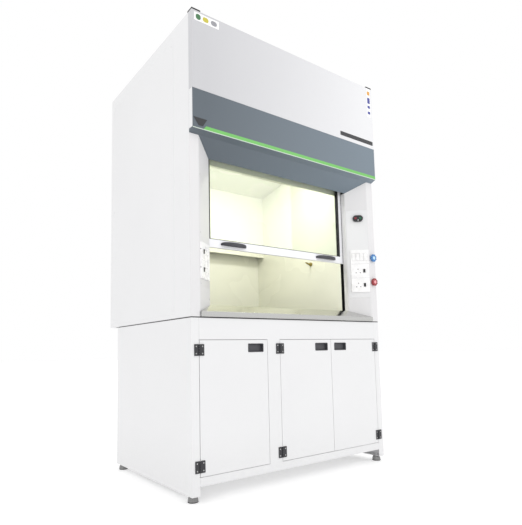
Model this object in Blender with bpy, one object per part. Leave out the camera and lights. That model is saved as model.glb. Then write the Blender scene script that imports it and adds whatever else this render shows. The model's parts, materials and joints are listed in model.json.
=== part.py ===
"""Walk-up laboratory fume hood on a three-door storage base.

X runs to the user's right, Y into the hood, Z up. Sizes are in metres. Everything is laid out from
the front plane of the base (Y = 0) and hangs on one empty, which moves the origin to the floor under
the middle of the whole outline.
"""

import math

import bmesh
import bpy
from mathutils import Matrix, Vector

# Overall sizes
WIDTH = 1.350
HOOD_DEPTH = 1.080
HOOD_OVERHANG = 0.135
BODY_TOP = 2.407
TOP_BOX_PROUD = 0.034

# Clearances
GAP = 0.0003
DOOR_GAP = 0.002
SLIDE_GAP = 0.0015
SWITCH_GAP = 0.0006
CUT_PAST = 0.010  # how far a cutter runs past the face it opens

# Storage base
FOOT_HEIGHT = 0.030
FOOT_RADIUS = 0.0255
FOOT_INSET_X = 0.026
FOOT_INSET_Y = 0.040
PANEL = 0.018
FRAME_DEPTH = 0.019
SIDE_DROP = 0.0425
BOTTOM_RAIL = 0.041
DOOR_OPENING = 0.640
TOP_RAIL = 0.1055
STILE = 0.0435
LEFT_OPENING = 0.412
MULLION = 0.083
BENCH_EDGE = 0.005
BENCH_STEP = 0.0017
BENCH_SETBACK = 0.015
WORK_RISE = 0.036
WORK_MARGIN = 0.030
DISH_DEPTH = 0.008

# Door furniture
PULL_WIDTH = 0.096
PULL_HEIGHT = 0.042
PULL_DEPTH = 0.0145
PULL_WALL = 0.0016
PULL_FROM_EDGE = 0.027
PULL_FROM_TOP = 0.020
HINGE_HEIGHT = 0.055
HINGE_LEAF = 0.027
HINGE_THICK = 0.003
HINGE_BARREL = 0.0035
BARREL_GAP = 0.0004
HINGE_FROM_END = 0.049

# Splayed posts, fascia and soffit
SHEET = 0.002
POST_FACE = 0.052
POST_INNER = 0.512
POST_INNER_Y = 0.0925
POST_BEND = 0.014
RETURN_END = 0.1237
FASCIA_TOP = 1.9932
FOLD_Z = 1.788
SOFFIT_FRONT_Z = 1.774
SOFFIT_REAR_Z = 1.704
SOFFIT_REAR_Y = 0.0925
SOFFIT_UPSTAND = 0.030

# Airfoil sill
SILL_PROUD = 0.008
SILL_LIP = 0.0265
SILL_REAR_Z = 0.934
SILL_REAR_Y = 0.165
SILL_SHEET = 0.003
SILL_SIDE_GAP = 0.0022

# Sash, its tracks and its balance
TRACK_FRONT = 0.124
TRACK_WIDTH = 0.026
TRACK_DEEP = 0.0175
TRACK_WALL = 0.0025
TRACK_TOP = 2.295
SASH_THICK = 0.018
SASH_BOTTOM = 1.244
SASH_HEIGHT = 0.800
SASH_RAIL = 0.044
SASH_STILE_IN = 0.022
SASH_INTO_TRACK = 0.0095
SASH_TOP_RAIL = 0.030
GLASS = 0.005
HANDLE_LEFT_INSET = 0.1825
HANDLE_RIGHT_INSET = 0.1665
HANDLE_LENGTH = 0.162
HANDLE_PROUD = 0.028
HANDLE_BAR = 0.009
HANDLE_HEIGHT = 0.020
PULLEY_RADIUS = 0.040
PULLEY_WIDTH = 0.012
PULLEY_GROOVE = 0.003
PULLEY_Z = 2.343
AXLE_RADIUS = 0.005
AXLE_CLEARANCE = 0.0004
ROPE_FROM_STILE = 0.022
ROPE_RADIUS = 0.0015
THIN_ROPE = 0.98
WEIGHT_SIDE = 0.056
WEIGHT_LENGTH = 0.670
WEIGHT_TOP = 1.950

# Chamber
LINER = 0.006
LINER_TOP = 2.020
BACK_SPACE = 0.030
PLENUM_DEPTH = 0.080
BAFFLE_SHEET = 0.004
BAFFLE_BOTTOM = 1.4235
BAFFLE_TOP = 1.930
CEILING_SHEET = 0.004
CEILING_Z = 1.985
CEILING_BREAK_Y = 0.540
CEILING_REAR_Z = 1.901
LINTEL_Y = 0.158
LINTEL_Z = 1.702

# Exhaust collar
COLLAR_RADIUS = 0.125
COLLAR_WALL = 0.003
COLLAR_RISE = 0.075
COLLAR_BELOW = 0.040
COLLAR_FLANGE = 0.028
COLLAR_Y = 0.560
COLLAR_SIDES = 48

# Controls, heights above the floor; across sizes are on the splayed face
PLATE_WIDTH = 0.132
PLATE_LOW = 1.018
PLATE_HIGH = 1.586
PLATE_SHEET = 0.0015
SCREW_RADIUS = 0.0032
SCREW_PROUD = 0.0012
SCREW_INSET = 0.0085
BUTTON_BOX_WIDTH = 0.066
BUTTON_BOX_HEIGHT = 0.040
BUTTON_BOX_DEEP = 0.014
BUTTON_BOX_X = 0.007
BUTTON_BOX_Z = 1.531
BUTTON_SPACING = 0.030
BUTTON_RADIUS = 0.0082
BUTTON_PROUD = 0.0045
BUTTON_LENGTH = 0.011
WELL_FLOOR = 0.002
MODULE_WIDTH = 0.115
MODULE_HEIGHT = 0.0905
MODULE_DEEP = 0.009
MODULE_LOW = 1.0525
RIGHT_MODULE_X = 0.0085
LEFT_MODULE_X = -0.011
SWITCH_PITCH = 0.025
SWITCH_WIDTH = 0.0225
SWITCH_HEIGHT = 0.046
ROCKER_WIDTH = 0.013
ROCKER_HEIGHT = 0.021
ROCKER_TILT = math.radians(6)
PIN_RADIUS = 0.0032
PIN_DEPTH = 0.006
PIN_SPREAD = 0.013
PIN_RISE = 0.0115
RIGHT_PINS_X = -0.0135
RIGHT_ROCKER_X = 0.026
LEFT_PINS_X = 0.018
LEFT_ROCKER_X = -0.024
ROCKER_PIVOT = 0.003
ROCKER_PROUD = 0.0036
ROCKER_WAIST = 0.0018
ROCKER_BEHIND = 0.0034
ROCKER_WINDOW = 0.0004
KNOB_RADIUS = 0.0255
KNOB_DEPTH = 0.015
KNOB_STANDOFF = 0.003
KNOB_INSET = 0.027
BLUE_KNOB_Z = 1.272
RED_KNOB_Z = 1.116
SPINDLE_RADIUS = 0.004
SPINDLE_BEHIND = 0.030
SPINDLE_HOLE = 0.020
KNOB_PROFILE = ((0.62, 1.0), (0.90, 0.82), (1.0, 0.45), (0.86, 0.0))

# Derived levels and planes
HALF = WIDTH / 2
BASE_DEPTH = HOOD_DEPTH - HOOD_OVERHANG
KNOB_X = HALF - KNOB_INSET
RAIL_BOTTOM = FOOT_HEIGHT + SIDE_DROP
OPENING_BOTTOM = RAIL_BOTTOM + BOTTOM_RAIL
OPENING_TOP = OPENING_BOTTOM + DOOR_OPENING
BASE_TOP = OPENING_TOP + TOP_RAIL
BENCH_TOP = BASE_TOP + BENCH_EDGE
HOOD_BOTTOM = BENCH_TOP + GAP
WORK_TOP = BENCH_TOP + WORK_RISE
STILE_X = HALF - STILE
MULLION_LEFT = -STILE_X + LEFT_OPENING
MULLION_RIGHT = MULLION_LEFT + MULLION
PAIR_X = (MULLION_RIGHT + STILE_X) / 2
BEND_X = HALF - POST_FACE
SASH_FRONT = TRACK_FRONT + TRACK_WALL + SLIDE_GAP
SASH_REAR = SASH_FRONT + SASH_THICK
SASH_HALF = POST_INNER + SASH_INTO_TRACK
SASH_TOP = SASH_BOTTOM + SASH_HEIGHT
HANDLE_LEFT_X = HANDLE_LEFT_INSET - SASH_HALF
HANDLE_RIGHT_X = SASH_HALF - HANDLE_RIGHT_INSET
SASH_MID_Y = SASH_FRONT + SASH_THICK / 2
ROPE_X = POST_INNER - ROPE_FROM_STILE
CHAMBER_HALF = POST_INNER - GAP
BACK_FACE = HOOD_DEPTH - BACK_SPACE
BAFFLE_FACE = BACK_FACE - PLENUM_DEPTH
PLENUM_REAR = BACK_FACE - GAP
HINGE_Y = -GAP - HINGE_BARREL - BARREL_GAP

FINISHES = {
    "white": ((0.83, 0.83, 0.84), 0.35, 0.0),
    "grey_white": ((0.66, 0.66, 0.69), 0.40, 0.0),
    "slate": ((0.13, 0.17, 0.20), 0.40, 0.0),
    "cream": ((0.78, 0.79, 0.62), 0.35, 0.0),
    "black": ((0.02, 0.02, 0.022), 0.45, 0.0),
    "charcoal": ((0.06, 0.06, 0.07), 0.40, 0.0),
    "steel": ((0.60, 0.60, 0.61), 0.28, 1.0),
    "iron": ((0.20, 0.20, 0.21), 0.55, 0.8),
    "bright": ((0.72, 0.72, 0.73), 0.25, 1.0),
    "plastic_white": ((0.86, 0.86, 0.87), 0.30, 0.0),
    "green": ((0.02, 0.20, 0.12), 0.30, 0.0),
    "red": ((0.45, 0.05, 0.06), 0.30, 0.0),
    "knob_blue": ((0.12, 0.36, 0.62), 0.30, 0.0),
    "knob_red": ((0.60, 0.08, 0.09), 0.30, 0.0),
    "glass": ((0.90, 0.95, 0.93), 0.02, 0.0),
}


def clear_scene():
    for obj in list(bpy.data.objects):
        bpy.data.objects.remove(obj, do_unlink=True)


def empty_at(name, location, parent=None, turn=0.0):
    empty = bpy.data.objects.new(name, None)
    empty.empty_display_size = 0.05
    empty.location = location
    empty.rotation_euler = (0.0, 0.0, turn)
    empty.parent = parent
    bpy.context.scene.collection.objects.link(empty)
    return empty


def add_object(name, build):
    """Link a new mesh object made by one function that fills a bmesh."""
    mesh = bpy.data.meshes.new(name)
    shape = bmesh.new()
    build(shape)
    bmesh.ops.recalc_face_normals(shape, faces=shape.faces)
    shape.to_mesh(mesh)
    shape.free()
    obj = bpy.data.objects.new(name, mesh)
    bpy.context.scene.collection.objects.link(obj)
    return obj


def box(name, x, y, z):
    """A box between two X values, two Y values and two Z values."""

    def build(shape):
        made = bmesh.ops.create_cube(shape, size=1.0)
        for vert in made["verts"]:
            vert.co.x = x[0] if vert.co.x < 0 else x[1]
            vert.co.y = y[0] if vert.co.y < 0 else y[1]
            vert.co.z = z[0] if vert.co.z < 0 else z[1]

    return add_object(name, build)


def along(axis, a, b, c):
    """The point of outline coordinates a, b at c along the axis."""
    return {"X": (c, a, b), "Y": (a, c, b), "Z": (a, b, c)}[axis]


def prism(name, axis, outline, low, high):
    """Extrude a closed outline along an axis. Each end is a number or a function of the outline point."""

    def end(value, point):
        return value(*point) if callable(value) else value

    def build(shape):
        lower = [shape.verts.new(along(axis, *p, end(low, p))) for p in outline]
        upper = [shape.verts.new(along(axis, *p, end(high, p))) for p in outline]
        count = len(outline)
        shape.faces.new(lower)
        shape.faces.new(list(reversed(upper)))
        for i in range(count):
            j = (i + 1) % count
            shape.faces.new((lower[i], upper[i], upper[j], lower[j]))

    return add_object(name, build)


def cylinder(name, axis, centre, radius, low, high, sides=24):
    ring = [
        (
            centre[0] + radius * math.cos(math.tau * i / sides),
            centre[1] + radius * math.sin(math.tau * i / sides),
        )
        for i in range(sides)
    ]
    return prism(name, axis, ring, low, high)


def turned(name, axis, centre, profile, sides=32):
    """Turn a closed profile of (radius, height) points about an axis through centre."""

    def build(shape):
        rings = []
        for radius, height in profile:
            ring = []
            for i in range(sides if radius > 0 else 1):
                angle = math.tau * i / sides
                a = centre[0] + radius * math.cos(angle)
                b = centre[1] + radius * math.sin(angle)
                ring.append(shape.verts.new(along(axis, a, b, height)))
            rings.append(ring)
        for k, ring in enumerate(rings):
            after = rings[(k + 1) % len(rings)]
            for i in range(sides):
                j = (i + 1) % sides
                corners = [ring[i % len(ring)], ring[j % len(ring)]]
                corners += [after[j % len(after)], after[i % len(after)]]
                corners = list(dict.fromkeys(corners))
                if len(corners) > 2:
                    shape.faces.new(corners)

    obj = add_object(name, build)
    smooth(obj)
    return obj


def smooth(obj, angle=math.radians(35)):
    obj.data.shade_smooth()
    obj.data.set_sharp_from_angle(angle=angle)


def rounded(before, corner, after, radius, steps=4):
    """Points of the arc that replaces one corner of an outline."""
    corner = Vector(corner)
    back = (Vector(before) - corner).normalized()
    ahead = (Vector(after) - corner).normalized()
    half = back.angle(ahead) / 2
    reach = radius / math.tan(half)
    middle = corner + (back + ahead).normalized() * radius / math.sin(half)
    start = corner + back * reach - middle
    end = corner + ahead * reach - middle
    sweep = start.angle_signed(end)
    points = []
    for i in range(steps + 1):
        turn = Matrix.Rotation(-sweep * i / steps, 2)
        points.append(tuple(middle + turn @ start))
    return points


def folded(points, thickness):
    """The outline of a folded sheet: its visible line, then the same line offset to the left."""
    line = [Vector(p) for p in points]
    offset = []
    for i, point in enumerate(line):
        before = (point - line[i - 1]).normalized() if i else None
        after = (line[i + 1] - point).normalized() if i + 1 < len(line) else None
        before = before or after
        after = after or before
        normal = Vector((-before.y, before.x)) + Vector((-after.y, after.x))
        normal.normalize()
        scale = thickness / normal.dot(Vector((-after.y, after.x)))
        offset.append(tuple(point + normal * scale))
    return [tuple(p) for p in line] + offset[::-1]


def capsule(width, height, steps=8):
    """A flat oval outline with round ends, centred on zero."""
    radius = height / 2
    reach = width / 2 - radius
    points = []
    for side in (1, -1):
        for i in range(steps + 1):
            angle = math.pi * (i / steps - 0.5)
            points.append((side * (reach + radius * math.cos(angle)), side * radius * math.sin(angle)))
    return points


def boolean(obj, operation, tool):
    modifier = obj.modifiers.new(f"{operation.lower()}_{tool.name}", "BOOLEAN")
    modifier.operation = operation
    modifier.solver = "EXACT"
    modifier.object = tool
    tool.hide_render = True
    tool.display_type = "WIRE"
    tool.parent = obj.parent
    return obj


def cut(obj, tool):
    return boolean(obj, "DIFFERENCE", tool)


def join(obj, tool):
    return boolean(obj, "UNION", tool)


def hollow(obj, x, y, z):
    return cut(obj, box(f"{obj.name}_hollow", x, y, z))


def hang(obj, pivot, finish):
    """Parent an object to a pivot empty and put its origin there, then give it its own material."""
    shift = Matrix.Translation(-pivot.location) if pivot.name.endswith("_axis") else Matrix()
    for item in [obj] + [m.object for m in obj.modifiers if m.type == "BOOLEAN"]:
        item.data.transform(shift)
        item.parent = pivot
    colour, roughness, metallic = FINISHES[finish]
    material = bpy.data.materials.new(f"{obj.name}_{finish}")
    material.use_nodes = True
    shader = material.node_tree.nodes["Principled BSDF"]
    shader.inputs["Base Color"].default_value = (*colour, 1.0)
    shader.inputs["Roughness"].default_value = roughness
    shader.inputs["Metallic"].default_value = metallic
    if finish == "glass":
        shader.inputs["Transmission Weight"].default_value = 1.0
    material.diffuse_color = (*colour, 1.0)
    obj.data.materials.append(material)
    return obj


def soffit_z(y):
    """Height of the fascia's underside at a depth y."""
    if y < 0:
        slope = (FOLD_Z - SOFFIT_FRONT_Z) / TOP_BOX_PROUD
        return SOFFIT_FRONT_Z - slope * y
    slope = (SOFFIT_REAR_Z - SOFFIT_FRONT_Z) / SOFFIT_REAR_Y
    return SOFFIT_FRONT_Z + slope * y


def splay_x(y):
    """Half width between the splayed faces at a depth y."""
    share = min(max(y / POST_INNER_Y, 0.0), 1.0)
    return BEND_X + (POST_INNER - BEND_X) * share


def frame_outline(inset):
    """The face frame seen from the front: two rails and the mullion, drawn in by inset."""
    x, left, right = STILE_X - inset, MULLION_LEFT + inset, MULLION_RIGHT - inset
    low, sill = RAIL_BOTTOM + inset, OPENING_BOTTOM - inset
    head, high = OPENING_TOP + inset, BASE_TOP - inset
    corners = [(-x, low), (x, low), (x, sill), (right, sill), (right, head), (x, head)]
    return corners + [(x, high), (-x, high), (-x, head), (left, head), (left, sill), (-x, sill)]


def make_base(root):
    for side, name in ((-1, "cabinet_side_left"), (1, "cabinet_side_right")):
        across = sorted((side * HALF, side * (STILE_X + GAP)))
        panel = box(name, across, (0.0, BASE_DEPTH), (FOOT_HEIGHT, BASE_TOP))
        inside = sorted((side * (HALF - SHEET), side * (STILE_X - CUT_PAST)))
        hollow(panel, inside, (SHEET, BASE_DEPTH - SHEET), (FOOT_HEIGHT + SHEET, BASE_TOP - SHEET))
        hang(panel, root, "white")

    frame = prism("face_frame", "Y", frame_outline(0.0), 0.0, FRAME_DEPTH)
    back_cut = prism("face_frame_hollow", "Y", frame_outline(SHEET), SHEET, FRAME_DEPTH + CUT_PAST)
    hang(cut(frame, back_cut), root, "white")

    front, rear = FRAME_DEPTH + GAP, BASE_DEPTH - SHEET - GAP
    top = BASE_TOP - SHEET - GAP
    half = HALF - SHEET - GAP
    line = [(front, RAIL_BOTTOM), (rear, RAIL_BOTTOM), (rear, top)]
    shell = prism("cabinet_shell", "X", folded(line, SHEET), -half, half)
    middle = (MULLION_LEFT + MULLION_RIGHT) / 2
    upright = (RAIL_BOTTOM + SHEET / 2, top)
    join(shell, box("partition", (middle - SHEET, middle + SHEET), (front, rear - SHEET / 2), upright))
    hang(shell, root, "white")


def make_bench_top(root):
    slab = box("bench_top", (-HALF, HALF), (0.0, BASE_DEPTH - BENCH_SETBACK), (BASE_TOP + GAP, BENCH_TOP))
    half = CHAMBER_HALF - GAP
    raised = box(
        "bench_rise",
        (-half, half),
        (SILL_REAR_Y + GAP, PLENUM_REAR),
        (BASE_TOP + GAP + BENCH_STEP, WORK_TOP),
    )
    dish = box(
        "bench_dish",
        (-half + WORK_MARGIN, half - WORK_MARGIN),
        (SILL_REAR_Y + WORK_MARGIN, PLENUM_REAR - WORK_MARGIN),
        (WORK_TOP - DISH_DEPTH, WORK_TOP + CUT_PAST),
    )
    hang(cut(join(slab, raised), dish), root, "black")


def make_feet(root):
    profile = [
        (0.0, 0.0),
        (FOOT_RADIUS, 0.0),
        (FOOT_RADIUS, FOOT_HEIGHT * 0.45),
        (FOOT_RADIUS * 0.92, FOOT_HEIGHT * 0.68),
        (FOOT_RADIUS * 0.66, FOOT_HEIGHT * 0.86),
        (FOOT_RADIUS * 0.50, FOOT_HEIGHT - GAP),
        (0.0, FOOT_HEIGHT - GAP),
    ]
    rows = (("front", FOOT_INSET_Y), ("rear", BASE_DEPTH - FOOT_INSET_Y))
    for row, y in rows:
        for side, word in ((-1, "left"), (1, "right")):
            centre = (side * (HALF - FOOT_INSET_X), y)
            hang(turned(f"foot_{row}_{word}", "Z", centre, profile[::-1], 24), root, "bright")


def make_door(root, word, low_x, high_x, hinge_side):
    """A flush door, its recessed pull and its two hinges. hinge_side is -1 for left, 1 for right."""
    axis_x = low_x if hinge_side < 0 else high_x
    pivot = empty_at(f"door_{word}_axis", (axis_x, HINGE_Y, OPENING_BOTTOM), root)
    edges = [low_x + DOOR_GAP, high_x - DOOR_GAP]
    if hinge_side < 0:
        edges[1] = high_x - DOOR_GAP * (0.5 if word == "centre" else 1.0)
    else:
        edges[0] = low_x + DOOR_GAP * 0.5
    door_low, door_high = OPENING_BOTTOM + DOOR_GAP, OPENING_TOP - DOOR_GAP
    door = box(f"door_{word}", edges, (0.0, FRAME_DEPTH), (door_low, door_high))
    inside_x = (edges[0] + SHEET, edges[1] - SHEET)
    hollow(door, inside_x, (SHEET, FRAME_DEPTH + CUT_PAST), (door_low + SHEET, door_high - SHEET))

    free = edges[1] if hinge_side < 0 else edges[0]
    pull_near = free + hinge_side * PULL_FROM_EDGE
    pull_far = pull_near + hinge_side * PULL_WIDTH
    pull_x = sorted((pull_near, pull_far))
    pull_z = (door_high - PULL_FROM_TOP - PULL_HEIGHT, door_high - PULL_FROM_TOP)
    pocket = box(
        f"pull_pocket_{word}",
        (pull_x[0] - GAP, pull_x[1] + GAP),
        (-CUT_PAST, PULL_DEPTH + GAP),
        (pull_z[0] - GAP, pull_z[1] + GAP),
    )
    cut(door, pocket)
    levels = (("upper", OPENING_TOP - HINGE_FROM_END), ("lower", OPENING_BOTTOM + HINGE_FROM_END))
    for level, z in levels:
        near = axis_x - hinge_side * (HINGE_BARREL + 2 * GAP)
        leaf_x = sorted((near, axis_x - hinge_side * HINGE_LEAF))
        span = (z - HINGE_HEIGHT / 2, z + HINGE_HEIGHT / 2)
        join(door, box(f"door_leaf_{word}_{level}", leaf_x, (-GAP - HINGE_THICK, SHEET / 2), span))
    hang(door, pivot, "white")

    cup = box(f"pull_{word}", pull_x, (0.0, PULL_DEPTH), pull_z)
    cup_inside = box(
        f"pull_hollow_{word}",
        (pull_x[0] + PULL_WALL, pull_x[1] - PULL_WALL),
        (-CUT_PAST, PULL_DEPTH - PULL_WALL),
        (pull_z[0] + PULL_WALL, pull_z[1] - PULL_WALL),
    )
    hang(cut(cup, cup_inside), pivot, "charcoal")

    for level, z in levels:
        reach = axis_x + hinge_side * HINGE_LEAF
        leaf_x = sorted((axis_x, reach))
        span = (z - HINGE_HEIGHT / 2, z + HINGE_HEIGHT / 2)
        leaf = box(f"hinge_{word}_{level}", leaf_x, (-GAP - HINGE_THICK, -GAP), span)
        barrel = cylinder(f"barrel_{word}_{level}", "Z", (axis_x, HINGE_Y), HINGE_BARREL, *span, sides=16)
        hang(join(leaf, barrel), root, "black")


def make_hood_shell(root):
    front = SHEET + GAP
    low, high = HOOD_BOTTOM + SHEET, BODY_TOP - SHEET
    for side, name in ((-1, "hood_side_left"), (1, "hood_side_right")):
        across = sorted((side * HALF, side * (HALF - PANEL)))
        panel = box(name, across, (front, HOOD_DEPTH), (HOOD_BOTTOM, BODY_TOP))
        inside = sorted((side * (HALF - SHEET), side * (HALF - PANEL - CUT_PAST)))
        hang(hollow(panel, inside, (front + SHEET, HOOD_DEPTH - SHEET), (low, high)), root, "white")
    half = HALF - PANEL - GAP
    inside = (SHEET - half, half - SHEET)
    inner_y = HOOD_DEPTH - PANEL
    back = box("hood_back", (-half, half), (inner_y, HOOD_DEPTH), (HOOD_BOTTOM, BODY_TOP))
    hang(hollow(back, inside, (inner_y - CUT_PAST, HOOD_DEPTH - SHEET), (low, high)), root, "white")

    top = box("hood_top", (-half, half), (front, inner_y - GAP), (BODY_TOP - PANEL, BODY_TOP))
    hollow(top, inside, (front + SHEET, inner_y - GAP - SHEET), (BODY_TOP - PANEL - CUT_PAST, high))
    outer, inner = COLLAR_RADIUS, COLLAR_RADIUS - COLLAR_WALL
    hole = outer + SLIDE_GAP
    collar_low, collar_high = BODY_TOP - COLLAR_BELOW, BODY_TOP + COLLAR_RISE
    cut(top, cylinder("collar_hole", "Z", (0.0, COLLAR_Y), hole, collar_low, collar_high, COLLAR_SIDES))
    seat = BODY_TOP + GAP
    profile = [
        (inner, collar_low),
        (inner, collar_high),
        (outer, collar_high),
        (outer, seat + COLLAR_WALL),
        (outer + COLLAR_FLANGE, seat + COLLAR_WALL),
        (outer + COLLAR_FLANGE, seat),
        (outer, seat),
        (outer, collar_low),
    ]
    hang(turned("exhaust_collar", "Z", (0.0, COLLAR_Y), profile, COLLAR_SIDES), root, "white")
    plate_y = (SASH_MID_Y + PULLEY_WIDTH, SASH_MID_Y + PULLEY_WIDTH + 2 * SHEET)
    for word, x in pulley_places():
        across = (x - PULLEY_RADIUS / 3, x + PULLEY_RADIUS / 3)
        heights = (PULLEY_Z - PULLEY_RADIUS / 3, BODY_TOP - SHEET / 2)
        join(top, box(f"hanger_{word}", across, plate_y, heights))
        reach = (SASH_MID_Y - PULLEY_WIDTH, SASH_MID_Y + PULLEY_WIDTH + SHEET)
        join(top, cylinder(f"axle_{word}", "Y", (x, PULLEY_Z), AXLE_RADIUS, *reach, sides=16))
    hang(top, root, "white")


def make_front(root):
    low = FASCIA_TOP + 2 * GAP
    panel = box("front_top_panel", (-HALF, HALF), (-TOP_BOX_PROUD, SHEET), (low, BODY_TOP))
    panel_inside = box(
        "top_panel_hollow",
        (-HALF + SHEET, HALF - SHEET),
        (-TOP_BOX_PROUD + SHEET, SHEET + CUT_PAST),
        (low - CUT_PAST, BODY_TOP - SHEET),
    )
    hang(cut(panel, panel_inside), root, "grey_white")

    rear = SHEET
    tray_outline = [
        (-TOP_BOX_PROUD, FASCIA_TOP),
        (-TOP_BOX_PROUD, FOLD_Z),
        (0.0, soffit_z(0.0)),
        (rear, soffit_z(rear)),
        (rear, FASCIA_TOP),
    ]
    fascia = prism("fascia", "X", tray_outline, -HALF, HALF)
    lift = SHEET / math.cos(math.atan2(SOFFIT_FRONT_Z - SOFFIT_REAR_Z, SOFFIT_REAR_Y))
    hollow_outline = [
        (-TOP_BOX_PROUD + SHEET, FASCIA_TOP + CUT_PAST),
        (-TOP_BOX_PROUD + SHEET, soffit_z(-TOP_BOX_PROUD + SHEET) + lift),
        (0.0, soffit_z(0.0) + lift),
        (rear + CUT_PAST, soffit_z(rear + CUT_PAST) + lift),
        (rear + CUT_PAST, FASCIA_TOP + CUT_PAST),
    ]
    cut(fascia, prism("fascia_hollow", "X", hollow_outline, -HALF + SHEET, HALF - SHEET))
    soffit_line = [
        (SHEET / 2, soffit_z(SHEET / 2)),
        (SOFFIT_REAR_Y, SOFFIT_REAR_Z),
        (SOFFIT_REAR_Y, SOFFIT_REAR_Z + SOFFIT_UPSTAND),
    ]
    half = HALF - PANEL - GAP
    join(fascia, prism("soffit_sheet", "X", folded(soffit_line, SHEET), -half, half))
    hang(fascia, root, "slate")


def post_line(side):
    """The visible line of one splayed post, seen from above, from its outer edge to its return."""
    outer, bend = (side * HALF, 0.0), (side * BEND_X, 0.0)
    inner = (side * POST_INNER, POST_INNER_Y)
    return [outer] + rounded(outer, bend, inner, POST_BEND) + [inner, (side * POST_INNER, RETURN_END)]


def make_posts(root):
    clearance = 4 * GAP

    def top(x, y):
        return soffit_z(min(y, SOFFIT_REAR_Y)) - clearance

    for side, name in ((-1, "post_left"), (1, "post_right")):
        line = post_line(side)
        post = prism(name, "Z", folded(line, -side * SHEET), HOOD_BOTTOM, top)
        if side > 0:
            for word, z in (("blue", BLUE_KNOB_Z), ("red", RED_KNOB_Z)):
                bore = SPINDLE_RADIUS + 2 * GAP
                cut(post, cylinder(f"spindle_hole_{word}", "Y", (KNOB_X, z), bore, -CUT_PAST, SPINDLE_HOLE, 16))
        hang(post, root, "white")


def make_sill(root):
    lip = HOOD_BOTTOM + SILL_LIP
    line = [
        (SILL_REAR_Y, HOOD_BOTTOM),
        (SILL_REAR_Y, SILL_REAR_Z),
        (POST_INNER_Y, SILL_REAR_Z),
        (0.0, lip + SILL_PROUD * (SILL_REAR_Z - lip) / (POST_INNER_Y + SILL_PROUD)),
        (-SILL_PROUD, lip),
        (-SILL_PROUD, HOOD_BOTTOM),
    ]

    def reach(y, z):
        limit = BEND_X - SILL_SIDE_GAP if y <= 0 else splay_x(y) - SILL_SIDE_GAP
        return min(limit, BEND_X - SILL_SIDE_GAP)

    def low(y, z):
        return -reach(y, z)

    hang(prism("sill", "X", folded(line, SILL_SHEET), low, reach), root, "steel")


def make_chamber(root):
    side_front = TRACK_FRONT + TRACK_WIDTH + GAP
    inner, outer = POST_INNER, POST_INNER + LINER
    outline = [
        (-outer, side_front),
        (-inner, side_front),
        (-inner, BACK_FACE),
        (inner, BACK_FACE),
        (inner, side_front),
        (outer, side_front),
        (outer, BACK_FACE + LINER),
        (-outer, BACK_FACE + LINER),
    ]
    hang(prism("chamber_liner", "Z", outline, HOOD_BOTTOM, LINER_TOP), root, "cream")

    line = [
        (BAFFLE_FACE - CEILING_SHEET / 2, CEILING_REAR_Z),
        (CEILING_BREAK_Y, CEILING_Z),
        (LINTEL_Y + CEILING_SHEET, CEILING_Z),
        (LINTEL_Y + CEILING_SHEET, LINTEL_Z),
    ]
    ceiling = prism("ceiling_liner", "X", folded(line, -CEILING_SHEET), -CHAMBER_HALF, CHAMBER_HALF)
    hang(ceiling, root, "cream")

    half = CHAMBER_HALF
    outline = [
        (-half, BAFFLE_FACE),
        (half, BAFFLE_FACE),
        (half, PLENUM_REAR),
        (half - BAFFLE_SHEET, PLENUM_REAR),
        (half - BAFFLE_SHEET, BAFFLE_FACE + BAFFLE_SHEET),
        (-half + BAFFLE_SHEET, BAFFLE_FACE + BAFFLE_SHEET),
        (-half + BAFFLE_SHEET, PLENUM_REAR),
        (-half, PLENUM_REAR),
    ]
    hang(prism("baffle", "Z", outline, BAFFLE_BOTTOM, BAFFLE_TOP), root, "cream")


def make_tracks(root):
    for side, name in ((-1, "track_left"), (1, "track_right")):
        inner, outer = side * POST_INNER, side * (POST_INNER + TRACK_DEEP)
        floor = side * (POST_INNER + TRACK_DEEP - TRACK_WALL)
        rear = TRACK_FRONT + TRACK_WIDTH
        outline = [
            (inner, TRACK_FRONT),
            (outer, TRACK_FRONT),
            (outer, rear),
            (inner, rear),
            (inner, rear - TRACK_WALL),
            (floor, rear - TRACK_WALL),
            (floor, TRACK_FRONT + TRACK_WALL),
            (inner, TRACK_FRONT + TRACK_WALL),
        ]
        hang(prism(name, "Z", outline, HOOD_BOTTOM, TRACK_TOP), root, "black")


def make_handle(root, word, x):
    """A bow handle: two stems and a bar that bulges towards the user, with round ends."""
    half, proud, bar = HANDLE_LENGTH / 2, HANDLE_PROUD, HANDLE_BAR
    steps = 12
    near, far = [], []
    for i in range(steps + 1):
        share = i / steps
        angle = math.pi * share
        near.append((x - half * math.cos(angle), -proud * math.sin(angle) ** 0.5))
        far.append((x - (half - bar) * math.cos(angle), -(proud - bar) * math.sin(angle) ** 0.5))
    back = SASH_FRONT - GAP
    outline = [(a, back + b) for a, b in near] + [(a, back + b) for a, b in far[::-1]]
    low = SASH_BOTTOM + (SASH_RAIL - HANDLE_HEIGHT) / 2
    handle = prism(f"sash_handle_{word}", "Z", outline, low, low + HANDLE_HEIGHT)
    smooth(handle)
    hang(handle, root, "charcoal")


def make_sash(root):
    clear_half = POST_INNER - SASH_STILE_IN
    frame = box("sash_frame", (-SASH_HALF, SASH_HALF), (SASH_FRONT, SASH_REAR), (SASH_BOTTOM, SASH_TOP))
    window_z = (SASH_BOTTOM + SASH_RAIL, SASH_TOP - SASH_TOP_RAIL)
    window = box("sash_window", (-clear_half, clear_half), (SASH_FRONT - CUT_PAST, SASH_REAR + CUT_PAST), window_z)
    hang(cut(frame, window), root, "white")
    pane = box(
        "sash_glass",
        (-clear_half + GAP, clear_half - GAP),
        (SASH_MID_Y - GLASS / 2, SASH_MID_Y + GLASS / 2),
        (window_z[0] + GAP, window_z[1] - GAP),
    )
    hang(pane, root, "glass")
    for word, x in (("left", HANDLE_LEFT_X), ("right", HANDLE_RIGHT_X)):
        make_handle(root, word, x)


def pulley_places():
    return (("left", -ROPE_X + PULLEY_RADIUS), ("right", ROPE_X + PULLEY_RADIUS))


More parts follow.
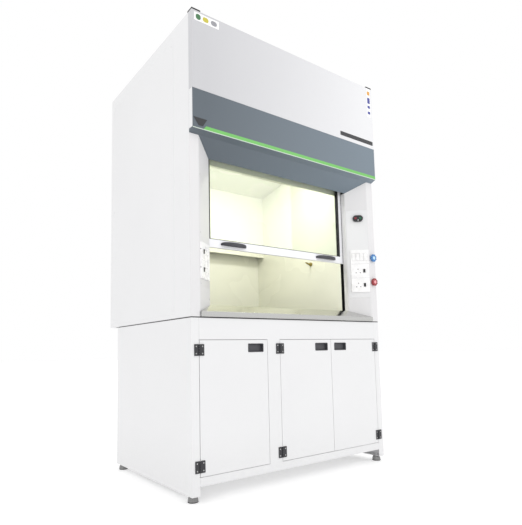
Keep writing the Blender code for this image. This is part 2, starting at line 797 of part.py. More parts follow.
def tube(name, path, radius, y, sides=8):
    """A round rope along a path of (x, z) points at one depth y."""

    def build(shape):
        rings = []
        for i, point in enumerate(path):
            before, after = Vector(path[max(i - 1, 0)]), Vector(path[min(i + 1, len(path) - 1)])
            ahead = (after - before).normalized()
            across = Vector((-ahead.y, ahead.x))
            ring = []
            for k in range(sides):
                angle = math.tau * k / sides
                place = Vector(point) + across * radius * math.cos(angle)
                ring.append(shape.verts.new((place.x, y + radius * math.sin(angle), place.y)))
            rings.append(ring)
        for lower, upper in zip(rings, rings[1:]):
            for k in range(sides):
                j = (k + 1) % sides
                shape.faces.new((lower[k], lower[j], upper[j], upper[k]))
        shape.faces.new(rings[0])
        shape.faces.new(rings[-1][::-1])

    obj = add_object(name, build)
    smooth(obj)
    return obj


def rope_arc(x, radius, start, end, steps=12):
    """Points on a circle about a pulley axle at x, from one angle to another in degrees."""
    points = []
    for i in range(steps + 1):
        angle = math.radians(start + (end - start) * i / steps)
        points.append((x + radius * math.cos(angle), PULLEY_Z + radius * math.sin(angle)))
    return points


def make_balance(root):
    """One weight balances the sash: both ropes meet over the right pulley and go down to it."""
    bore = AXLE_RADIUS + AXLE_CLEARANCE
    half, groove = PULLEY_WIDTH / 2, PULLEY_RADIUS - PULLEY_GROOVE
    for word, x in pulley_places():
        pivot = empty_at(f"pulley_{word}_axis", (x, SASH_MID_Y, PULLEY_Z), root)
        profile = [
            (bore, SASH_MID_Y - half),
            (PULLEY_RADIUS, SASH_MID_Y - half),
            (groove, SASH_MID_Y - half / 2),
            (groove, SASH_MID_Y + half / 2),
            (PULLEY_RADIUS, SASH_MID_Y + half),
            (bore, SASH_MID_Y + half),
        ]
        wheel = turned(f"pulley_{word}", "Y", (x, PULLEY_Z), profile, 32)
        hang(wheel, pivot, "iron")

    wrap = groove + ROPE_RADIUS + 2 * GAP
    (_, left), (_, right) = pulley_places()
    foot = SASH_TOP + GAP
    path = [(left - wrap, foot)] + rope_arc(left, wrap, 180, 90) + rope_arc(right, wrap, 90, 0)
    path.append((right + wrap, WEIGHT_TOP + GAP))
    rope = tube("sash_cable", path, ROPE_RADIUS, SASH_MID_Y)
    path = [(right - wrap, foot)] + rope_arc(right, wrap, 180, 90)
    hang(join(rope, tube("sash_cable_right", path, ROPE_RADIUS * THIN_ROPE, SASH_MID_Y)), root, "bright")

    x = right + wrap
    weight = box(
        "counterweight",
        (x - WEIGHT_SIDE / 2, x + WEIGHT_SIDE / 2),
        (SASH_MID_Y - WEIGHT_SIDE / 2, SASH_MID_Y + WEIGHT_SIDE / 2),
        (WEIGHT_TOP - WEIGHT_LENGTH, WEIGHT_TOP),
    )
    hang(weight, root, "iron")


def face_frame_of(root, side):
    """An empty in the middle of one splayed face: X to the user's right, Y into the face."""
    middle = (side * (BEND_X + POST_INNER) / 2, POST_INNER_Y / 2, 0.0)
    turn = -side * math.atan2(POST_INNER_Y, BEND_X - POST_INNER)
    word = "right" if side > 0 else "left"
    return empty_at(f"splayed_face_{word}", middle, root, turn)


def make_rocker(face, name, x, z, width, height, front):
    """A rocker held at one end of its tilt. It turns about X on its own pivot."""
    pivot_y = front + ROCKER_PIVOT
    pivot = empty_at(f"{name}_axis", (x, pivot_y, z), face)
    half = height / 2
    flat = [
        (front - ROCKER_PROUD, half),
        (front - ROCKER_WAIST, 0.0),
        (front - ROCKER_PROUD, -half),
        (front + ROCKER_BEHIND, -half),
        (front + ROCKER_BEHIND, half),
    ]
    outline = []
    for y, up in flat:
        turned_point = Matrix.Rotation(ROCKER_TILT, 2) @ Vector((y - pivot_y, up))
        outline.append((pivot_y + turned_point.x, z + turned_point.y))
    return hang(prism(name, "X", outline, x - width / 2, x + width / 2), pivot, "plastic_white")


def rocker_window(name, x, z, width, height, front):
    margin = SWITCH_GAP
    swing = 2 * ROCKER_PROUD * math.sin(ROCKER_TILT) + ROCKER_WINDOW
    tall = height * math.cos(ROCKER_TILT) + swing + 2 * margin
    return box(
        name,
        (x - width / 2 - margin, x + width / 2 + margin),
        (front - CUT_PAST, front + MODULE_DEEP + CUT_PAST),
        (z - tall / 2, z + tall / 2),
    )


def add_socket(face, plate, word, x, z, front, pin_x, rocker_x):
    """Three round pin holes in a triangle and the rocker beside them."""
    pins = ((pin_x, PIN_RISE), (pin_x - PIN_SPREAD, -PIN_RISE), (pin_x + PIN_SPREAD, -PIN_RISE))
    for i, (across, up) in enumerate(pins):
        hole = cylinder(
            f"pin_{word}_{i}", "Y", (x + across, z + up), PIN_RADIUS, front - CUT_PAST, front + PIN_DEPTH, 12
        )
        cut(plate, hole)
    name = f"socket_rocker_{word}"
    window = rocker_window(f"window_{word}", x + rocker_x, z, ROCKER_WIDTH, ROCKER_HEIGHT, front)
    cut(plate, window)
    make_rocker(face, name, x + rocker_x, z, ROCKER_WIDTH, ROCKER_HEIGHT, front)


def make_right_controls(face):
    half = PLATE_WIDTH / 2
    plate_front = -GAP - PLATE_SHEET
    plate = box("service_plate", (-half, half), (plate_front, -GAP), (PLATE_LOW, PLATE_HIGH))
    for i, x in enumerate((-half + SCREW_INSET, half - SCREW_INSET)):
        for j, z in enumerate((PLATE_LOW + SCREW_INSET, PLATE_HIGH - SCREW_INSET)):
            span = (plate_front - SCREW_PROUD, plate_front + PLATE_SHEET / 2)
            join(plate, cylinder(f"plate_screw_{i}{j}", "Y", (x, z), SCREW_RADIUS, *span, sides=12))
    hang(plate, face, "white")

    back = plate_front - GAP
    front = back - BUTTON_BOX_DEEP
    outline = [
        (BUTTON_BOX_X + a, BUTTON_BOX_Z + b) for a, b in capsule(BUTTON_BOX_WIDTH, BUTTON_BOX_HEIGHT)
    ]
    housing = prism("button_housing", "Y", outline, front, back)
    for word, side, finish in (("stop", -1, "red"), ("start", 1, "green")):
        x = BUTTON_BOX_X + side * BUTTON_SPACING / 2
        centre = (x, BUTTON_BOX_Z)
        bore = BUTTON_RADIUS + SWITCH_GAP
        well = cylinder(f"{word}_well", "Y", centre, bore, front - CUT_PAST, back - WELL_FLOOR, 24)
        cut(housing, well)
        span = (front - BUTTON_PROUD, front - BUTTON_PROUD + BUTTON_LENGTH)
        button = cylinder(f"{word}_button", "Y", centre, BUTTON_RADIUS, *span, sides=24)
        smooth(button)
        hang(button, face, finish)
    hang(housing, face, "black")

    front = back - MODULE_DEEP
    x = RIGHT_MODULE_X
    across = (x - MODULE_WIDTH / 2, x + MODULE_WIDTH / 2)
    modules = box("switch_plate", across, (front, back), (MODULE_LOW, MODULE_LOW + 3 * MODULE_HEIGHT))
    for i, word in enumerate(("right_lower", "right_upper")):
        z = MODULE_LOW + (i + 0.5) * MODULE_HEIGHT
        add_socket(face, modules, word, x, z, front, RIGHT_PINS_X, RIGHT_ROCKER_X)
    z = MODULE_LOW + 2.5 * MODULE_HEIGHT
    for i in range(4):
        place = x + (i - 1.5) * SWITCH_PITCH
        name = f"switch_{i + 1}"
        cut(modules, rocker_window(f"{name}_window", place, z, SWITCH_WIDTH, SWITCH_HEIGHT, front))
        make_rocker(face, name, place, z, SWITCH_WIDTH, SWITCH_HEIGHT, front)
    hang(modules, face, "plastic_white")


def make_left_sockets(face):
    back = -GAP
    front = back - MODULE_DEEP
    x = LEFT_MODULE_X
    across = (x - MODULE_WIDTH / 2, x + MODULE_WIDTH / 2)
    modules = box("socket_plate_left", across, (front, back), (MODULE_LOW, MODULE_LOW + 2 * MODULE_HEIGHT))
    for i, word in enumerate(("left_lower", "left_upper")):
        z = MODULE_LOW + (i + 0.5) * MODULE_HEIGHT
        add_socket(face, modules, word, x, z, front, LEFT_PINS_X, LEFT_ROCKER_X)
    hang(modules, face, "plastic_white")


def make_knobs(root):
    for word, z, finish in (("blue", BLUE_KNOB_Z, "knob_blue"), ("red", RED_KNOB_Z, "knob_red")):
        pivot = empty_at(f"{word}_knob_axis", (KNOB_X, 0.0, z), root)
        near = -KNOB_STANDOFF
        grip = [(KNOB_RADIUS * wide, near - KNOB_DEPTH * deep) for wide, deep in KNOB_PROFILE]
        stem = [(SPINDLE_RADIUS, near), (SPINDLE_RADIUS, SPINDLE_BEHIND), (0.0, SPINDLE_BEHIND)]
        profile = [(0.0, near - KNOB_DEPTH)] + grip + stem
        hang(turned(f"{word}_knob", "Y", (KNOB_X, z), profile, 24), pivot, finish)


def main():
    clear_scene()
    root = empty_at("floor_middle", (0.0, (TOP_BOX_PROUD - HOOD_DEPTH) / 2, 0.0))
    make_base(root)
    make_bench_top(root)
    make_feet(root)
    make_door(root, "left", -STILE_X, MULLION_LEFT, -1)
    make_door(root, "centre", MULLION_RIGHT, PAIR_X, -1)
    make_door(root, "right", PAIR_X, STILE_X, 1)
    make_hood_shell(root)
    make_front(root)
    make_posts(root)
    make_sill(root)
    make_chamber(root)
    make_tracks(root)
    make_sash(root)
    make_balance(root)
    make_right_controls(face_frame_of(root, 1))
    make_left_sockets(face_frame_of(root, -1))
    make_knobs(root)


main()
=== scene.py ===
# Looks for a fume hood on a three-door base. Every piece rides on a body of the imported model.
import json
import math

import bmesh
import bpy
import numpy as np
from mathutils import Matrix, Vector


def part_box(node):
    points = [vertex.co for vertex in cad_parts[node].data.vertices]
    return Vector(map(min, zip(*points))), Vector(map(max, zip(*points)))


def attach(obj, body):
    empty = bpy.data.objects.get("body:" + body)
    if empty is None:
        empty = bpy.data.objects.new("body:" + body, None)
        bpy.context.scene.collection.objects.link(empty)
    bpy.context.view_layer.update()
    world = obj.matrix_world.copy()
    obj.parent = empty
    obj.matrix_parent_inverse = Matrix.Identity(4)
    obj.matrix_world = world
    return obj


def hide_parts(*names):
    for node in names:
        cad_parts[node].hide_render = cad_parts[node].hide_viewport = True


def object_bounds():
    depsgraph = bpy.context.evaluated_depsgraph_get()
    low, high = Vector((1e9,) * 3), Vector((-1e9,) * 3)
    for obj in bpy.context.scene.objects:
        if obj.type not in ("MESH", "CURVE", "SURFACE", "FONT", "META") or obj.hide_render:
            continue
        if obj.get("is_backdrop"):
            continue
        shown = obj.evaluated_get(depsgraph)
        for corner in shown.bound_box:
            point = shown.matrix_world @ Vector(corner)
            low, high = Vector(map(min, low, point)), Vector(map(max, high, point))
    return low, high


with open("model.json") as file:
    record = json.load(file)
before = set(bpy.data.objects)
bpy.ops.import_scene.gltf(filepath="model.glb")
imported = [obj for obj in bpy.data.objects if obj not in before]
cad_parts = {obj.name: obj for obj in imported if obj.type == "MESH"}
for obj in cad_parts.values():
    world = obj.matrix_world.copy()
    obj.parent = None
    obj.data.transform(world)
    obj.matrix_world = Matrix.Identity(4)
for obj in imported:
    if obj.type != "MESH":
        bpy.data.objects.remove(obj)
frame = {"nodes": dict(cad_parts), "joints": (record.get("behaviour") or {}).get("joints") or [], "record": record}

cadLow, cadHigh = (list(corner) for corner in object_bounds())
bodyOf = {node: body for body, nodes in frame["record"]["behaviour"]["bodies"].items() for node in nodes}
slotOf = {entry["node"]: entry["material_slot"] for entry in frame["record"]["subparts"]}
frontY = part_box("face_frame")[0].y  # front plane of base and posts
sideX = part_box("hood_side_right")[1].x
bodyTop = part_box("front_top_panel")[1].z


class Wire:
    # one output socket; sums and products of wires and numbers become Math nodes
    def __init__(self, paint, socket):
        self.paint, self.socket = paint, socket

    def maths(self, kind, first, second):
        return self.paint.node("Math", {"operation": kind}, i0=first, i1=second)

    def __add__(self, other):
        return self.maths("ADD", self, other)

    def __sub__(self, other):
        return self.maths("SUBTRACT", self, other)

    def __mul__(self, other):
        return self.maths("MULTIPLY", self, other)

    def __rsub__(self, other):
        return self.maths("SUBTRACT", other, self)

    def __pow__(self, other):
        return self.maths("POWER", self, other)

    __radd__, __rmul__ = __add__, __mul__


class Paint:
    # one material, its Principled shader and any other node through node()
    def __init__(self, name, **values):
        self.material = bpy.data.materials.new(name)
        self.material.use_nodes = True
        self.tree = self.material.node_tree
        self.shader = self.tree.nodes["Principled BSDF"]
        for key, value in values.items():
            self.feed(self.shader.inputs[key.replace("_", " ")], value)
        if "Base_Color" in values:
            self.material.diffuse_color = values["Base_Color"]

    def feed(self, socket, value):
        if isinstance(value, Wire):
            self.tree.links.new(value.socket, socket)
        else:
            socket.default_value = value

    def node(self, kind, settings=None, output=0, **sockets):
        made = self.tree.nodes.new("ShaderNode" + kind)
        for key, value in (settings or {}).items():
            setattr(made, key, value)
        for key, value in sockets.items():  # i0, i1 and so on where sockets share a name
            name = int(key[1:]) if key[1:].isdigit() else key
            self.feed(made.inputs[name], value)
        return Wire(self, made.outputs[output])

    def place(self, scale=(1, 1, 1)):
        where = self.node("TexCoord", output=3)
        return self.node("Mapping", Vector=where, Scale=scale)

    def noise(self, where, scale, detail=2.0, rough=0.5):
        return self.node("TexNoise", Vector=where, Scale=scale, Detail=detail, Roughness=rough)

    def mix(self, share, first, second):
        return self.node("Mix", {"data_type": "RGBA"}, output=2, i0=share, i6=first, i7=second)

    def axis(self, k):
        return self.node("SeparateXYZ", output=k, Vector=self.node("TexCoord", output=3))

    def colour(self, value):
        self.feed(self.shader.inputs["Base Color"], value)

    def rough(self, value):
        self.feed(self.shader.inputs["Roughness"], value)

    def bump(self, height, distance):
        self.feed(self.shader.inputs["Normal"], self.node("Bump", Height=height, Distance=distance))


# screen colour from 0 to 255 as a linear colour: a straight foot, then a power of 2.4
def tone(red, green, blue):
    def linear(value):
        value = value / 255
        return value / 12.92 if value <= 0.04045 else ((value + 0.055) / 1.055) ** 2.4

    return (linear(red), linear(green), linear(blue), 1.0)


# colour times a factor, at most 1
def shade(colour, factor):
    return tuple(min(part * factor, 1.0) for part in colour[:3]) + (1.0,)


# powder coat: orange peel bump, faint cloudiness, floor dust low down, and, where far is given, a painted
# reflection: the colour turns towards the far tint along X, lighter to the right
def powderCoat(name, colour, gloss=0.34, peel=0.00006, dust=0.10, far=None):
    paint = Paint(name, Base_Color=colour, Specular_IOR_Level=0.5)
    where = paint.place()
    cloud = paint.noise(where, 2.2, 4.0)
    fine = paint.noise(where, 420.0, 1.0)
    speck = paint.noise(where, 60.0, 3.0)
    cloudAndPaintedReflection = paint.mix(cloud, shade(colour, 0.972), shade(colour, 1.02))
    # painted reflection: a gradient from the base colour on the left to the far tint on the right
    if far:
        along = paint.node("MapRange", i0=paint.axis(0), i1=-0.6, i2=0.6, i3=0.0, i4=1.0)
        cloudAndPaintedReflection = paint.mix(along, cloudAndPaintedReflection, far)
    low = paint.node("MapRange", i0=paint.axis(2), i1=0.0, i2=0.30, i3=dust, i4=0.0)
    paint.colour(paint.mix(low * speck, cloudAndPaintedReflection, tone(150, 146, 138)))
    paint.rough(cloud * 0.10 + speck * 0.06 + (gloss - 0.08))
    paint.bump(fine, peel)
    return paint.material


# compact laminate: even cream with a faint fleck and a soft shine
def laminate(name, colour):
    paint = Paint(name, Base_Color=colour)
    where = paint.place()
    fleck, cloud = paint.noise(where, 260.0, 2.0), paint.noise(where, 1.6, 3.0)
    base = paint.mix(fleck, shade(colour, 0.97), shade(colour, 1.02))
    paint.colour(paint.mix(cloud, base, shade(colour, 0.96)))
    paint.rough(cloud * 0.14 + 0.20)
    paint.bump(fleck, 0.00003)
    return paint.material


# brushed metal: long fine streaks along one axis change its shine and its height
def brushed(name, colour, stretch=(2, 260, 260), gloss=0.24, metal=1.0, grain=0.00002):
    paint = Paint(name, Base_Color=colour, Metallic=metal)
    streak = paint.noise(paint.place(stretch), 4.0, 3.0, 0.6)
    smear = paint.noise(paint.place(), 5.0, 3.0)
    paint.colour(paint.mix(streak, shade(colour, 0.86), shade(colour, 1.08)))
    paint.rough(streak * 0.16 + smear * 0.12 + (gloss - 0.12))
    paint.bump(streak, grain)
    return paint.material


# moulded plastic: spark-eroded grain and rubbed patches
def moulded(name, colour, gloss=0.42, grain=0.00008, coat=0.0):
    paint = Paint(name, Base_Color=colour, Coat_Weight=coat)
    where = paint.place()
    fine, patch = paint.noise(where, 700.0, 2.0), paint.noise(where, 30.0, 3.0)
    paint.colour(paint.mix(patch, shade(colour, 0.90), shade(colour, 1.10)))
    paint.rough(patch * 0.16 + (gloss - 0.08))
    paint.bump(fine, grain)
    return paint.material


# casting: sand-cast lumps under dull paint
def casting(name, colour):
    paint = Paint(name, Base_Color=colour, Metallic=0.6)
    lumps = paint.noise(paint.place(), 240.0, 4.0)
    paint.colour(paint.mix(lumps, shade(colour, 0.7), shade(colour, 1.25)))
    paint.rough(lumps * 0.3 + 0.45)
    paint.bump(lumps, 0.0003)
    return paint.material


# float glass: see-through, with a shine of 0.06 + 0.9 facing^5 that a faint smear varies
def paneGlass(name, tint):
    paint = Paint(name, Base_Color=tint, Roughness=0.03, IOR=1.5)
    clear = paint.node("BsdfTransparent", Color=tint)
    shine = paint.node("BsdfGlossy", Color=(1, 1, 1, 1), Roughness=0.03)
    facing = paint.node("LayerWeight", output=1, Blend=0.5)
    smear = paint.noise(paint.place((1, 1, 0.4)), 3.0, 4.0)
    share = (facing**5 * 0.9 + 0.06) * (smear * 0.3 + 0.85)
    both = paint.node("MixShader", i0=share, i1=clear, i2=shine)
    paint.tree.links.new(both.socket, paint.tree.nodes["Material Output"].inputs["Surface"])
    return paint.material


# lamp diffuser: an even glow, with a shine that follows moulded ribs
def glowing(name, colour, strength):
    paint = Paint(name, Base_Color=colour, Emission_Color=colour, Emission_Strength=strength)
    ribs = paint.node("TexWave", {"wave_type": "BANDS"}, output=1, Vector=paint.place(), Scale=60.0)
    paint.rough(ribs * 0.1 + 0.35)
    return paint.material


white, cream = tone(227, 227, 228), tone(244, 244, 229)
finishes = {
    "white_paint": powderCoat("whitePowderCoat", white),
    # the posts' white paint is a little darker than the cabinet's: painted shade for the concave posts
    "post_paint": powderCoat("postCoatWithPaintedShade", tone(221, 220, 221), dust=0.0),
    # the grey top panel and the slate fascia carry a painted reflection that lightens them towards the right
    "grey_paint": powderCoat("palePanelCoat", tone(197, 197, 200), dust=0.0, far=tone(226, 226, 228)),
    "slate_paint": powderCoat(
        "slatePowderCoat", tone(90, 99, 107), 0.40, 0.00009, dust=0.0, far=tone(114, 127, 138)
    ),
    "cream_laminate": laminate("creamLaminate", cream),
    "worktop_black": moulded("blackResin", tone(34, 34, 35), 0.30, 0.00004),
    "sill_steel": brushed("sillStainless", tone(200, 200, 198), (1, 220, 220), 0.14, grain=0.000004),
    "foot_metal": brushed("platedFoot", tone(138, 138, 138), (160, 160, 8), 0.36),
    "hinge_black": moulded("blackEnamel", tone(46, 46, 50), 0.40, 0.00005),
    "pull_plastic": moulded("darkPullPlastic", tone(66, 66, 71), 0.46),
    "track_black": moulded("blackTrackPlastic", tone(24, 24, 24), 0.5),
    "sash_white": powderCoat("sashCoat", tone(242, 242, 245), 0.30, 0.00004, 0.0),
    "sash_glass": paneGlass("sashPane", (0.955, 0.975, 0.955, 1.0)),
    "handle_grey": moulded("darkHandlePlastic", tone(58, 58, 64), 0.38),
    "cast_iron": casting("castWeight", tone(82, 84, 88)),
    "cable_steel": brushed("wireRope", tone(170, 170, 172), (300, 300, 300), 0.35),
    "housing_black": moulded("blackHousing", tone(30, 30, 31), 0.34, 0.00005),
    "button_red": moulded("redButton", tone(120, 28, 38), 0.26, 0.00002, 0.5),
    "button_green": moulded("greenButton", tone(24, 96, 66), 0.26, 0.00002, 0.5),
    "socket_white": moulded("whiteModulePlastic", tone(243, 242, 242), 0.28, 0.00003),
    "knob_blue": moulded("blueKnob", tone(62, 124, 186), 0.26, 0.00003, 0.4),
    "knob_red": moulded("redKnob", tone(150, 36, 44), 0.26, 0.00003, 0.4),
}
extras = {
    "brightScrew": brushed("brightScrew", tone(200, 200, 200), (200, 200, 200), 0.26),
    "rubber": moulded("blackRubber", tone(22, 22, 23), 0.62),
    "brass": brushed("nozzleBrass", tone(168, 152, 92), (120, 120, 120), 0.30),
    "stripeGreen": moulded("greenStripe", tone(112, 188, 96), 0.34, 0.00002),
    # painted highlight: a pale colour for the light caught on the fascia's fold
    "stripePale": moulded("paintedFoldHighlight", tone(206, 218, 206), 0.3, 0.00002),
    "seamPaintedShade": moulded("seamShadow", tone(168, 168, 172), 0.6),
    "plateDark": moulded("plainNamePlate", tone(48, 49, 52), 0.42, 0.00003),
    "patchWhite": moulded("patchWhite", tone(246, 246, 248), 0.4, 0.00002),
    "patchGreen": moulded("patchGreen", tone(70, 120, 80), 0.4, 0.00002),
    "patchYellow": moulded("patchYellow", tone(196, 186, 70), 0.4, 0.00002),
    "patchGrey": moulded("patchGrey", tone(150, 150, 156), 0.4, 0.00002),
    "patchBlue": moulded("patchBlue", tone(70, 74, 150), 0.4, 0.00002),
    "patchAmber": moulded("patchAmber", tone(222, 160, 70), 0.4, 0.00002),
    "knobBlueCap": moulded("blueKnobCap", tone(190, 226, 250), 0.24, 0.00002, 0.4),
    "knobRedCap": moulded("redKnobCap", tone(240, 160, 165), 0.24, 0.00002, 0.4),
    "clearLens": moulded("clearLens", tone(214, 218, 222), 0.12, 0.00001, 0.6),
    "lamp": glowing("lampDiffuser", (1.0, 0.98, 0.93, 1.0), 2.0),
}
print("materials ready:", len(finishes) + len(extras))


# put a piece in the scene on its body, with its finish and the CAD nodes it stands for
def finish(name, mesh, material, body, slot=None, stands=(), sharp=32):
    piece = bpy.data.objects.new(name, mesh)
    bpy.context.scene.collection.objects.link(piece)
    mesh.materials.append(material)
    mesh.shade_smooth()
    mesh.set_sharp_from_angle(angle=math.radians(sharp))
    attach(piece, body)
    if stands:
        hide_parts(*stands)
    return piece


# skin over rings: each ring is a closed loop of the same number of points, and both ends are capped
def skinMesh(name, rings):
    rings = np.asarray(rings, float)
    rows, count = rings.shape[:2]
    first = np.arange(rows - 1)[:, None] * count + np.arange(count)[None, :]
    after = np.arange(rows - 1)[:, None] * count + (np.arange(count)[None, :] + 1) % count
    sides = np.stack([first, after, after + count, first + count], -1).reshape(-1, 4)
    faces = sides.tolist() + [list(range(count))[::-1], list(range((rows - 1) * count, rows * count))]
    mesh = bpy.data.meshes.new(name)
    mesh.from_pydata(rings.reshape(-1, 3).tolist(), [], faces)
    mesh.update()
    return mesh


# a flat working plane: a point is the origin plus a to the right, b up and n out towards the viewer
class Plane:
    def __init__(self, origin, right, up):
        self.origin, self.right, self.up = (np.array(part, float) for part in (origin, right, up))
        self.out = np.cross(self.right, self.up)

    def at(self, a, b, n):
        a, b, n = np.broadcast_arrays(a, b, n)
        return self.origin + a[..., None] * self.right + b[..., None] * self.up + n[..., None] * self.out


# circle: a = r cos t, b = r sin t
def circle(radius, count=24):
    turn = np.linspace(0, math.tau, count, endpoint=False)
    return np.stack([radius * np.cos(turn), radius * np.sin(turn)], -1)


# rounded rectangle: each quarter circle is centred r in from its corner
def roundRect(width, height, radius, steps=5):
    radius = max(min(radius, width / 2 - 1e-5, height / 2 - 1e-5), 1e-5)
    turn = np.linspace(0, math.pi / 2, steps + 1)
    quarters = []
    for k, (sx, sy) in enumerate(((1, 1), (-1, 1), (-1, -1), (1, -1))):
        angle = turn + k * math.pi / 2
        middle = np.array([sx * (width / 2 - radius), sy * (height / 2 - radius)])
        quarters.append(middle + radius * np.stack([np.cos(angle), np.sin(angle)], -1))
    return np.concatenate(quarters)


# lobed circle: r is R less the depth times the square of (1 + cos(lobes t)) / 2
def lobed(radius, depth, lobes, count=96):
    turn = np.linspace(0, math.tau, count, endpoint=False)
    reach = radius - depth * (0.5 + 0.5 * np.cos(lobes * turn)) ** 2
    return np.stack([reach * np.cos(turn), reach * np.sin(turn)], -1)


# cross outline for a screw recess: r is bar over the smaller of |cos t| and |sin t|, at most R
def cross(radius, bar, count=24):
    turn = np.linspace(0, math.tau, count, endpoint=False)
    slim = np.minimum(np.abs(np.cos(turn)), np.abs(np.sin(turn)))
    reach = np.minimum(radius, bar / np.maximum(slim, 1e-6))
    return np.stack([reach * np.cos(turn), reach * np.sin(turn)], -1)


# stack of outlines: level k lies n above the plane, centred on (a, b)
def stack(plane, a, b, levels):
    return [plane.at(a + line[:, 0], b + line[:, 1], np.full(len(line), n)) for line, n in levels]


# plate with a rounded outline and a front edge that turns through a quarter circle
def plate(name, plane, a, b, size, depth, material, body, radius=0.003, back=0.0, edge=0.0006, **more):
    width, height = size
    levels = [(roundRect(width, height, radius), back)]
    for share in (0.0, 0.3, 0.6, 1.0):
        inset = edge * (1 - math.cos(share * math.pi / 2))
        rise = depth - edge + edge * math.sin(share * math.pi / 2)
        levels.append((roundRect(width - 2 * inset, height - 2 * inset, radius), rise))
    return finish(name, skinMesh(name, stack(plane, a, b, levels)), material, body, **more)


# pan-head screw: the head's radius shrinks over its height, then a cross recess sinks in; shares of radius
panHead = ((1, 0), (1, 0.25), (0.90, 0.7), (0.72, 1))
recess = ((0.58, 0.16, 1), (0.50, 0.13, 0.35))


def screw(name, plane, a, b, radius, body, base=0.0, material=None, height=None):
    height = height or radius * 0.5
    levels = [(circle(radius * share), base + height * up) for share, up in panHead]
    levels += [(cross(radius * reach, radius * bar), base + height * up) for reach, bar, up in recess]
    return finish(name, skinMesh(name, stack(plane, a, b, levels)), material or extras["brightScrew"], body)


rounding = {"panel": 0.0007, "module": 0.0004, "segments": 2, "angle": 40, "flat": 0.6}


# a CAD node again, with its triangles merged into whole faces and its edges rounded
def refined(node, width):
    body, slot = bodyOf[node], slotOf[node]
    shape = bmesh.new()
    shape.from_mesh(frame["nodes"][node].data)
    bmesh.ops.remove_doubles(shape, verts=shape.verts, dist=1e-5)
    flat = math.radians(rounding["flat"])
    bmesh.ops.dissolve_limit(shape, angle_limit=flat, verts=shape.verts, edges=shape.edges)
    mesh = bpy.data.meshes.new(node + "_skin")
    shape.to_mesh(mesh)
    shape.free()
    mesh.materials.clear()
    piece = finish(node + "_skin", mesh, finishes[slot], body, slot, (node,), 30)
    edge = piece.modifiers.new("roundEdge", "BEVEL")
    edge.width, edge.segments, edge.limit_method = width, rounding["segments"], "ANGLE"
    edge.angle_limit = math.radians(rounding["angle"])
    edge.use_clamp_overlap = edge.harden_normals = True


front = Plane((0, frontY, 0), (1, 0, 0), (0, 0, 1))
topFront = Plane((0, cadLow[1], 0), (1, 0, 0), (0, 0, 1))
rear = Plane((0, cadHigh[1], 0), (-1, 0, 0), (0, 0, 1))
leftSide = Plane((-sideX, 0, 0), (0, -1, 0), (0, 0, 1))
rightSide = Plane((sideX, 0, 0), (0, 1, 0), (0, 0, 1))
roof = Plane((0, 0, bodyTop), (1, 0, 0), (0, 1, 0))

# the splayed faces run from the bend, on the front plane, back to the post's return
returnDepth = 0.0925
splay = next(joint["axis"] for joint in frame["joints"] if joint["name"] == "stop_button_press")
splayIn = np.array(splay) / np.linalg.norm(splay)
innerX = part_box("track_right")[0].x
bendX = innerX + returnDepth * splayIn[1] / splayIn[0]
middleX, middleY = (innerX + bendX) / 2, frontY + returnDepth / 2
rightFace = Plane((middleX, middleY, 0), (splayIn[1], -splayIn[0], 0), (0, 0, 1))
leftFace = Plane((-middleX, middleY, 0), (splayIn[1], splayIn[0], 0), (0, 0, 1))


replacedByHand = ("pull_", "hinge_", "foot_", "sash_handle_", "blue_knob", "red_knob", "stop_", "start_")
for node in sorted(frame["nodes"]):
    if node.startswith(replacedByHand) or node in ("sash_glass", "sash_cable"):
        continue
    small = node.startswith(("switch_", "socket_rocker"))
    refined(node, rounding["module" if small else "panel"])
for node in ("sash_glass", "sash_cable"):
    frame["nodes"][node].data.materials.clear()
    frame["nodes"][node].data.materials.append(finishes[slotOf[node]])
print("panels rounded")


hinge = {
    "width": 0.0268, "height": 0.055, "thick": 0.0034, "over": 0.0006, "screw": 0.0034, "spread": 0.31,
    "barrel": 0.0038, "knuckles": 5, "sides": 20, "slack": 0.0002, "soft": 0.0005,
}


# one butterfly hinge: a rounded leaf on each side and knuckles taken in turn by frame and door
def makeHinge(word, level, door):
    low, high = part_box(f"hinge_{word}_{level}")
    joint = next(joint for joint in frame["joints"] if joint["child"] == door)
    axisX, axisY = joint["pos_m"][0], joint["pos_m"][1]
    side = 1 if (low.x + high.x) / 2 > axisX else -1
    z = (low.z + high.z) / 2
    for body, way, owner in (("cabinet", side, "frame"), (door, -side, "door")):
        gap = hinge["barrel"] * 0.9
        width = hinge["width"] - gap
        a = axisX + way * (gap + width / 2)
        name = f"hinge_{word}_{level}_{owner}"
        stands = (f"hinge_{word}_{level}",) if owner == "frame" else ()
        size = (width, hinge["height"] + hinge["over"])
        leaf = {"radius": 0.0022, "back": 0.0001, "slot": "hinge_black", "stands": stands}
        plate(name + "_leaf", front, a, z, size, hinge["thick"], finishes["hinge_black"], body, **leaf)
        for k, up in enumerate((-1, 1)):
            b = z + up * hinge["height"] * hinge["spread"]
            base = hinge["thick"] - hinge["slack"]
            screw(f"{name}_screw_{k}", front, a + way * 0.002, b, hinge["screw"], body, base)
    length = hinge["height"] / hinge["knuckles"]
    for k in range(hinge["knuckles"]):
        bottom = z - hinge["height"] / 2 + k * length
        upright = Plane((axisX, axisY, bottom), (1, 0, 0), (0, 1, 0))
        soft, slack = hinge["soft"], hinge["slack"]
        whole, slim = (circle(hinge["barrel"] - less, hinge["sides"]) for less in (0, soft))
        levels = [(slim, slack), (whole, slack + soft)]
        levels += [(whole, length - slack - soft), (slim, length - slack)]
        body = "cabinet" if k % 2 == 0 else door
        name = f"hinge_{word}_{level}_knuckle_{k}"
        mesh = skinMesh(name, stack(upright, 0, 0, levels))
        finish(name, mesh, finishes["hinge_black"], body, "hinge_black")


pull = {
    "lip": 0.0012, "wall": 0.0028, "corner": 0.004, "proud": 0.0014, "mouth": 0.00005,
    "shallow": 0.30, "fall": 0.58, "slope": 1.25,
}


